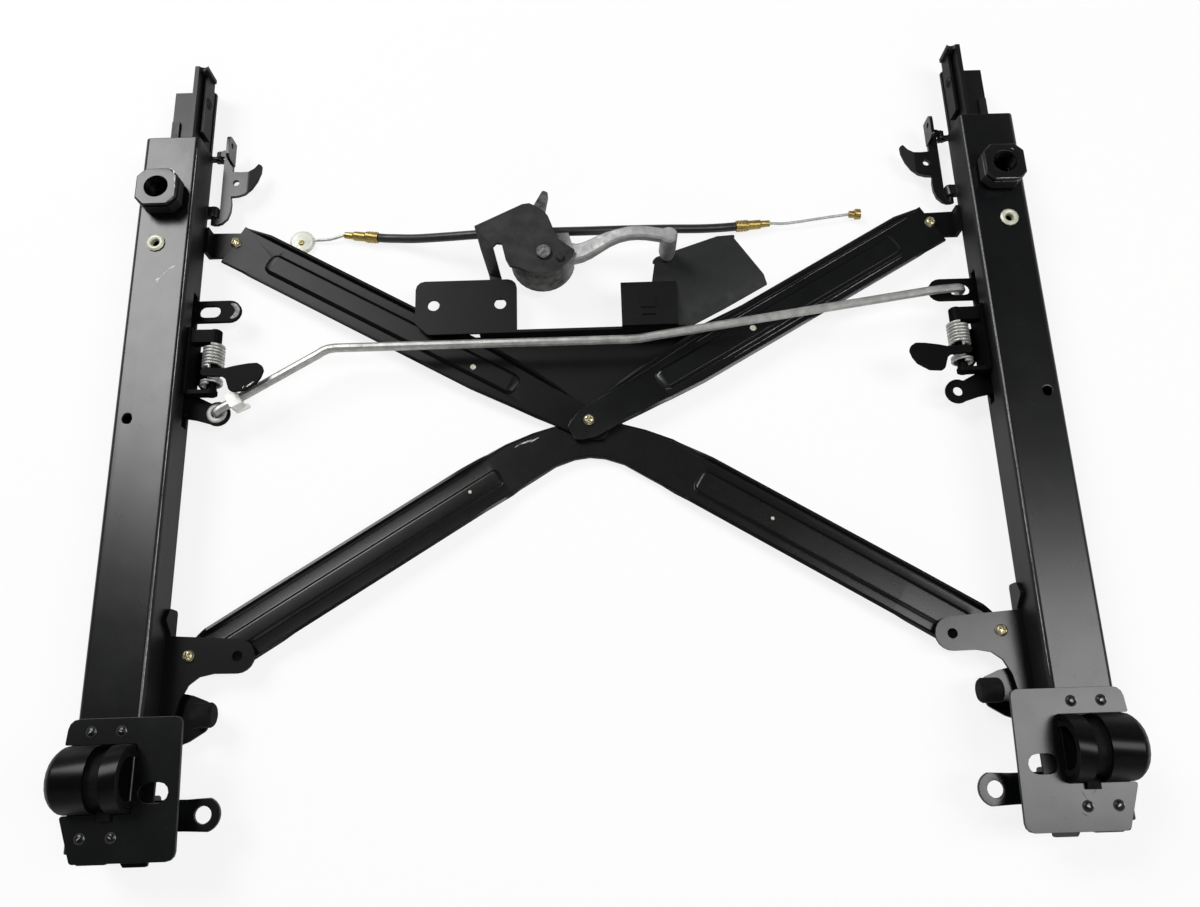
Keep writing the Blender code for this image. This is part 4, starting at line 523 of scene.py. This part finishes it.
# Painted shade for the ear hole: the blackest spot, dished.
hole_shade_finish = moulded("painted_hole_shade", "#030303", 0.9, 0.0, 0.05)
hole_shade_disc = [(0.02, 0.0), (2.5, 0.0), (2.5, 1.3), (2.1, 0.9), (0.02, 0.7)]
for side, x, paint in (("left", -EAR_HOLE_X, thin_paint), ("right", EAR_HOLE_X, rail_paint)):
    dress(f"ear_bracket_{side}", paint, 0.3)
    dress(f"ear_tab_{side}", rail_paint, 0.3)
    dress(f"buffer_{side}", buffer_rubber, 0.3)
    spun(f"ear_seal_{side}", hole_shade_disc, spot(x, EAR_HOLE_STATION, HOLE_SHADE_FOOT), hole_shade_finish, "frame")


# Brace tabs and braces: three long pressings with beads, screwed to the tabs behind, to the ears
# in front and to each other in the middle. The front brace is one stamping that runs under the ears.
GAUGE, FLANGE, HALF_WIDTH, END_HALF, BEAD_RISE = 1.5, 3.4, 12.2, 5.0, 1.8
BRACE_FOOT = Vector((200.8, -126.3))
BRACE_LOW, BRACE_CLIMB = 3.4, 2.6
BRACE_START, BEAD_STOP = 60, 16
# The folds of the pressing stay a little proud even where the flange has faded out.
LEAST_FLANGE, LEAST_BEAD = 0.6, 0.5


def share_of(value, least=0.0):
    """Value held between least and 1."""
    return min(1.0, max(least, value))


def pressed_ring(centre, angle, half_far, half_near, far, near, bead, rise):
    """Closed section of the front brace: flange, land, bead, land and flange."""
    crown = [(half_far, far), (half_far - 0.8, 0.5), (half_far - 1.4, 0), (bead + 2.1, 0),
             (bead + 1.2, rise * 0.25), (bead + 0.3, rise * 0.9), (bead - 0.4, rise)]
    crown += [(-v, h) for v, h in crown[:2:-1]]
    crown += [(1.4 - half_near, 0), (0.8 - half_near, 0.5), (-half_near, near)]
    line = [Vector(p) for p in crown]
    ways = [(b - a).normalized() for a, b in zip(line, line[1:])]
    under = []
    for i, point in enumerate(line):
        normals = [Vector((way.y, -way.x)) for way in ways[max(0, i - 1):i + 1]]
        middle = sum(normals, Vector((0, 0))).normalized()
        under.append(point - middle * GAUGE / middle.dot(normals[0]))
    across = Vector((-math.sin(angle), math.cos(angle), 0))
    base = Vector(centre) + Vector((0, 0, GAUGE))
    return [base + across * v + Vector((0, 0, h)) for v, h in line + under[::-1]]


def front_brace(bead_start, bead_half):
    """Sections of one arm of the front brace, from its ear to the middle."""
    way, length = BRACE_FOOT.normalized(), BRACE_FOOT.length
    angle = math.atan2(way.y, way.x)
    bead_end = length - BEAD_STOP
    ends = (0, 0.2, 0.6, 1.2, 2.0, 3.0, 4.2, 5.4)
    steps = {BRACE_START} | {length - back for back in (5, 8, 14, 28, 44, 52)}
    steps |= {bead_start + e for e in ends} | {bead_end - e for e in ends}
    steps |= set(range(72, int(length) - 20, 8))
    out = []
    for mark in sorted(steps, reverse=True):
        x, y = way * mark
        inside = max(0.0, min(mark - bead_start, bead_end - mark))
        bead = bead_half * math.sqrt(max(0.0, 1 - (1 - share_of(inside / bead_half)) ** 2))
        rise = BEAD_RISE * share_of(inside / BEAD_RISE)
        grow = FLANGE * share_of((mark - 48) / 20)
        far = grow * share_of((length - 6 - mark) / 10, 0.3)
        near = grow * share_of((length - 42 - mark) / 10, 0.5)
        level = BRACE_LOW + BRACE_CLIMB * share_of((mark - BRACE_START) / (length - 112))
        half_near = HALF_WIDTH - (HALF_WIDTH - END_HALF) * share_of((mark - length + 26) / 20)
        out.append(((x, y, level), angle, HALF_WIDTH, half_near, max(LEAST_FLANGE, far),
                    max(LEAST_FLANGE, near), max(LEAST_BEAD, bead), rise))
    for x, y, lean, half in ((41.0, -25.7, 0.5, 13.0), (30.0, -20.5, 0.0, 13.2), (18.0, -15.0, 0.0, 11.2),
                             (8.0, -10.0, 0.0, 12.7)):
        out.append(((x, y, BRACE_LOW), lean * angle, half, half, LEAST_FLANGE, LEAST_FLANGE, LEAST_BEAD, 0))
    return out


for side, paint in (("left", thin_paint), ("right", rail_paint)):
    dress(f"brace_tab_{side}", thin_paint, 0.3)
    dress(f"brace_arm_{side}", paint, 0.5)
left_arm = [((-x, y, z), -angle, *values) for (x, y, z), angle, *values in front_brace(56.0, 3.2)]
middle = ((0.0, -8.1, BRACE_LOW), 0.0, 13.6, 13.6, LEAST_FLANGE, LEAST_FLANGE, LEAST_BEAD, 0)
sections = left_arm + [middle] + front_brace(66.0, 5.2)[::-1]
form = bmesh.new()
rings = [[form.verts.new(p * MM) for p in pressed_ring(*section)] for section in sections]
skin(form, rings)
form.faces.new(rings[0])
form.faces.new(rings[-1][::-1])
bmesh.ops.recalc_face_normals(form, faces=form.faces)
# Dip paint on the deep pressing: a little tamer than the rails', so that its folds stay dark.
brace_paint = dip_paint("brace_dip_paint", "#060607", 0.27, 0.34)
brace = placed("front_brace", form, brace_paint, "frame", False)
ease(brace, 0.3)
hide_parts("brace_v")
BRACE_TOP, ARM_TOP = 4.95, 6.95
marks("brace_scratches", [((-37.4, 178.8), (-30.4, 176.4), 1.0, BRACE_TOP),
                          ((-31.6, 177.6), (-27.0, 175.2), 0.8, BRACE_TOP),
                          ((-40.0, 180.4), (-37.6, 179.0), 0.4, BRACE_TOP)], bare_steel_and_highlight, "frame", 31)
# Pale lines along the bead and flange folds of the right brace arm: painted highlight.
highlight_strokes = [((60.0, 123.6), (118.0, 89.9), 0.4, ARM_TOP), ((117.0, 90.4), (184.0, 51.5), 0.45, ARM_TOP),
         ((74.0, 134.3), (120.0, 107.4), 0.45, ARM_TOP), ((119.0, 108.0), (165.0, 81.1), 0.45, ARM_TOP),
         ((80.4, 133.3), (134.0, 101.9), 0.4, ARM_TOP), ((133.0, 102.4), (178.0, 76.0), 0.4, ARM_TOP)]
marks("arm_fold_highlight", highlight_strokes, painted_fold_highlight, "frame", 33)
# Bright studs: small peened rivets on the braces, as pale points.
for name, x, station, level, radius in (("gusset_rivet_left", -61.9, 135.2, 8.75, 1.7),
                                        ("gusset_rivet_right", 91.2, 117.3, 8.75, 1.8),
                                        ("brace_rivet_left", -63.2, 204.7, 7.0, 1.0),
                                        ("brace_rivet_right", 93.4, 224.0, 7.76, 1.0)):
    dome = [(0.02, 0.0), (radius, 0.0), (radius * 0.94, 0.3), (radius * 0.6, 0.62), (radius * 0.32, 0.45),
            (0.02, 0.4)]
    spun(name, dome, spot(x, station, level), lip_plate, "frame", steps=20)


# Screws: pan heads with a cross recess, cold headed in steel, zinc plated and yellow passivated.
# The passivate gives a pale straw gold that greys in patches.
HEAD_RADIUS, HEAD_RISE, SHANK_RADIUS = 3.0, 2.0, 1.55
SLIT_HALF, SLIT_REACH, SLIT_DEPTH = 0.55, 1.9, 1.1
yellow_zinc = cloudy_plate("yellow_passivated_zinc", "#cbc096", "#8d8a78", 0.36, 1.0, 1.5)


def cross_screw(name, node, turn):
    """Pan head screw with a cross recess, in the place and height of its solid."""
    low, high = [Vector(corner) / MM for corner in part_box(node)]
    x, y, seat = (low.x + high.x) / 2, (low.y + high.y) / 2, high.z - HEAD_RISE
    form = bmesh.new()
    steps, rows = 72, 16
    rings = []
    for row in range(1, rows + 1):
        out = row / rows
        dome = seat + HEAD_RISE * (1 - out ** 4) ** 0.5 * (1 - 0.12 * out ** 2)
        head = ring(form, HEAD_RADIUS * out, dome, steps, x, y)
        for k, vert in enumerate(head):
            a = 2 * math.pi * k / steps - turn
            u, v = abs(HEAD_RADIUS * out * math.cos(a)), abs(HEAD_RADIUS * out * math.sin(a))
            vert.co.z -= (SLIT_DEPTH * share_of((SLIT_HALF - min(u, v)) / 0.2)
                          * share_of((SLIT_REACH - max(u, v)) / 0.5))
        rings.append(head)
    for radius, level in ((HEAD_RADIUS, seat), (SHANK_RADIUS, seat), (SHANK_RADIUS, low.z + 0.4),
                          (1.2, low.z), (0.05, low.z)):
        rings.append(ring(form, radius, level, steps, x, y))
    form.faces.new(rings[0])
    skin(form, rings)
    form.faces.new(rings[-1][::-1])
    bmesh.ops.scale(form, vec=(MM, MM, MM), verts=form.verts)
    bmesh.ops.recalc_face_normals(form, faces=form.faces)
    item = placed(name, form, yellow_zinc, "frame")
    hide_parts(node)


screws = ("ear_screw_left", "ear_screw_right", "arm_screw_left", "arm_screw_right", "pivot_screw")
for k, node in enumerate(screws):
    cross_screw(f"cross_{node}", node, 0.5 + 0.7 * k)


# Gusset: a folded sheet between the rear arms, with an upright wall, the plate with two holes and
# the small square plate with its lanced square.
# Matt dip paint: an even, velvety black that hardly mirrors the room.
gusset_paint = dip_paint("matt_dip_paint", "#060607", 0.42, 0.18, 0.4)
dress("gusset", gusset_paint, 0.3)


# Cable bracket and lever bracket: folded sheets with a grey phosphate coat and little paint,
# so they look like slate beside the black; the lever bracket is oily all over.
def phosphate(name, light, dark, roughness):
    """Grey phosphate coat with darker oily patches."""
    finish, tree, shader, where = new_material(name)
    patches = blotches(tree, where, 9, 0.0, 1.0, 5.0)
    colour = add(tree, "Mix", {0: patches, 6: linear(light), 7: linear(dark)}, data_type="RGBA")
    tree.links.new(colour.outputs[2], shader.inputs["Base Color"])
    tree.links.new(blotches(tree, where, 4, roughness - 0.06, roughness + 0.1), shader.inputs["Roughness"])
    tree.links.new(uneven(tree, where, 0.7, 0.12), shader.inputs["Normal"])
    shader.inputs["IOR"].default_value = 1.5
    shader.inputs["Specular IOR Level"].default_value = 0.25
    return finish


# Dry phosphate: flat slate grey.
dress("cable_bracket", phosphate("grey_phosphate", "#202121", "#191a1a", 0.5), 0.3)
# Oily phosphate: slate with black patches where the oil has soaked in.
dress("lever_bracket", phosphate("oily_phosphate", "#2e2f2e", "#0f1010", 0.45), 0.3)


# Centre lever: die cast in aluminium as one piece, its arm silver, its hub and finger painted dark as
# painted shade; it turns on a headed steel pin.
# Die cast aluminium: soft silver with a dull, grainy skin; towards the hub it fades into patchy dark grey,
# painted shade.
# Over this span of X, in metres, the silver fades into the painted shade of the hub and finger.
HUB_SHADE_X = (-0.012, -0.004)
cast, tree, shader, where = new_material("die_cast_aluminium")
side_ways = add(tree, "SeparateXYZ", {0: where}).outputs[0]
hub_shade_share = add(tree, "MapRange", {"Value": side_ways, "From Min": HUB_SHADE_X[0], "From Max": HUB_SHADE_X[1],
                                 "To Min": 1.0, "To Max": 0.0})
clouds = blotches(tree, where, 6, 0.0, 1.0, 4.0)
silver = add(tree, "Mix", {0: clouds, 6: linear("#aeafad"), 7: linear("#8f9090")}, data_type="RGBA")
smears = blotches(tree, where, 5, 0.0, 1.0, 5.0)
hub_shade_colour = add(tree, "Mix", {0: smears, 6: linear("#6d6d6b"), 7: linear("#242424")}, data_type="RGBA")
colour = add(tree, "Mix", {0: hub_shade_share.outputs[0], 6: silver.outputs[2], 7: hub_shade_colour.outputs[2]},
             data_type="RGBA")
tree.links.new(colour.outputs[2], shader.inputs["Base Color"])
tree.links.new(blotches(tree, where, 3, 0.56, 0.7), shader.inputs["Roughness"])
tree.links.new(uneven(tree, where, 0.6, 0.15), shader.inputs["Normal"])
shader.inputs["Metallic"].default_value = 0.85
dress("centre_lever", cast, 0.6)
# Unplated steel, turned and tarnished: mid grey with a low shine.
pin_steel = cloudy_plate("dull_steel_pin", "#8d8d8b", "#4b4b4a", 0.36, 1.0, 2)
dress("lever_pin", pin_steel, 0.3)


# Latch rockers: blanked levers with a slotted ear and an eye, on upright headed pins.
# The paint is rubbed through round the slotted ear, and a zinc washer sits on the left eye.
EAR_TOP, EYE_TOP = 14.24, 14.25


def crescent(name, centre, radius, width, sweep_to, level, finish, body):
    """Rubbed rim: a thin crescent that follows a round end, the same angle to both sides."""
    form = bmesh.new()
    inner, outer = [], []
    steps = 22
    for k in range(steps + 1):
        a = math.radians(sweep_to * (2 * k / steps - 1))
        swell = width / 2 * math.sin(math.pi * (0.04 + 0.92 * k / steps)) ** 0.5
        for row, r in ((inner, radius - swell), (outer, radius + swell)):
            at = spot(centre[0] + r * math.cos(a), centre[1] - r * math.sin(a), level)
            row.append(form.verts.new(at * MM))
    for k in range(steps):
        form.faces.new((inner[k], outer[k], outer[k + 1], inner[k + 1]))
    face_up(form)
    return placed(name, form, finish, body, False)


# Bright zinc: clean silver, only a little cloudy.
bright_zinc = cloudy_plate("bright_zinc_plate", "#cfcfcb", "#a3a3a0", 0.36)
# Dull zinc: the same plating, greyed and matt.
dull_washer = cloudy_plate("dull_zinc_washer", "#b4b4b1", "#90908e", 0.55, 0.5)
# Paint rubbed half through: grey steel between black remains.
rubbed = cloudy_plate("rubbed_paint", "#77787a", "#1b1b1c", 0.45, 0.4, 1.2)
for side in ("left", "right"):
    dress(f"latch_rocker_{side}", sooty_paint, 0.3)
    dress(f"rocker_pin_{side}", bright_zinc, 0.2)
crescent("rubbed_ear_left", (-194.2, 100.2), 4.2, 2.6, 80, EAR_TOP, rubbed, "rocker_left")
washer = [(2.9, 0.0), (5.3, 0.0), (5.4, 0.3), (5.2, 0.6), (3.1, 0.6), (2.9, 0.4)]
washer_place = spot(-196.2, 159.4, EYE_TOP)
spun("rod_washer_left", washer, washer_place, dull_washer, "rocker_left")


# Sync rod and its clip: round steel rod cranked at both ends, zinc plated and dulled in storage,
# held on the left rocker by a clip moulded in nylon.
# Stored zinc: pale grey in long clouds, its shine gone.
rod_zinc = cloudy_plate("dull_zinc_plate", "#bcbcb9", "#969694", 0.48, 0.9, 5)
dress("sync_rod", rod_zinc, 0)
# Natural nylon in a thick moulding: milk white.
dress("rod_clip", moulded("natural_nylon", "#e9eae6", 0.4), 0.4)


# Horn brackets, horn levers and latch springs: each horn turns on a pin across its bracket, under a
# torsion spring wound in two close coils of bright wire; the horn's tip is nicked.
SPRING_X, SPRING_LEVEL, COIL_RADIUS, COIL_WIRE = 199.0, 18, 5.0, 0.8
HORN_TOP = 26.12
for side, sign in (("left", -1), ("right", 1)):
    dress(f"horn_bracket_{side}", sooty_paint, 0.3)
    dress(f"horn_lever_{side}", sooty_paint, 0.35)
    turns = []
    for back, front, count in ((123.0, 135.2, 7), (142.0, 145.2, 2)):
        steps = count * 16
        for k in range(steps + 1):
            a = 2 * math.pi * count * k / steps + math.pi / 2
            turns.append(spot(sign * (SPRING_X + COIL_RADIUS * math.cos(a)),
                              back + (front - back) * k / steps, SPRING_LEVEL + COIL_RADIUS * math.sin(a)))
    coil = tube(f"coil_spring_{side}", turns, COIL_WIRE, wire_zinc, 2)
    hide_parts(f"latch_spring_{side}")
marks("horn_nicks_left", [((-177.6, 149.6), (-173.6, 146.6), 0.8, HORN_TOP),
                          ((-179.4, 150.2), (-178.6, 148.8), 0.5, HORN_TOP)], bare_steel_and_highlight, "horn_left", 41)


# Rear lock levers: a bent blank with a tab, a horn and an upright end, on two lanced lugs;
# painted, then wiped thin on the tab.
# Wiped paint: matt beside the rail, and on the tab smooth enough to mirror the lamp.
TAB_EDGE = (0.1908, 0.1922)
wiped, tree, shader, where = new_material("wiped_dip_paint")
side_ways = add(tree, "SeparateXYZ", {0: where}).outputs[0]
from_middle = add(tree, "Math", {0: side_ways}, operation="ABSOLUTE").outputs[0]
on_tab = add(tree, "MapRange", {"Value": from_middle, "From Min": TAB_EDGE[0], "From Max": TAB_EDGE[1],
                                "To Min": 0.75, "To Max": 0.27})
tree.links.new(on_tab.outputs[0], shader.inputs["Roughness"])
smears = blotches(tree, where, 7, 0.0, 1.0)
shade = add(tree, "Mix", {0: smears, 6: linear("#060607"), 7: linear("#101012")}, data_type="RGBA")
tree.links.new(shade.outputs[2], shader.inputs["Base Color"])
shader.inputs["IOR"].default_value = 1.5
shader.inputs["Specular IOR Level"].default_value = 0.36
for side in ("left", "right"):
    dress(f"rear_lock_lever_{side}", wiped, 0.3)
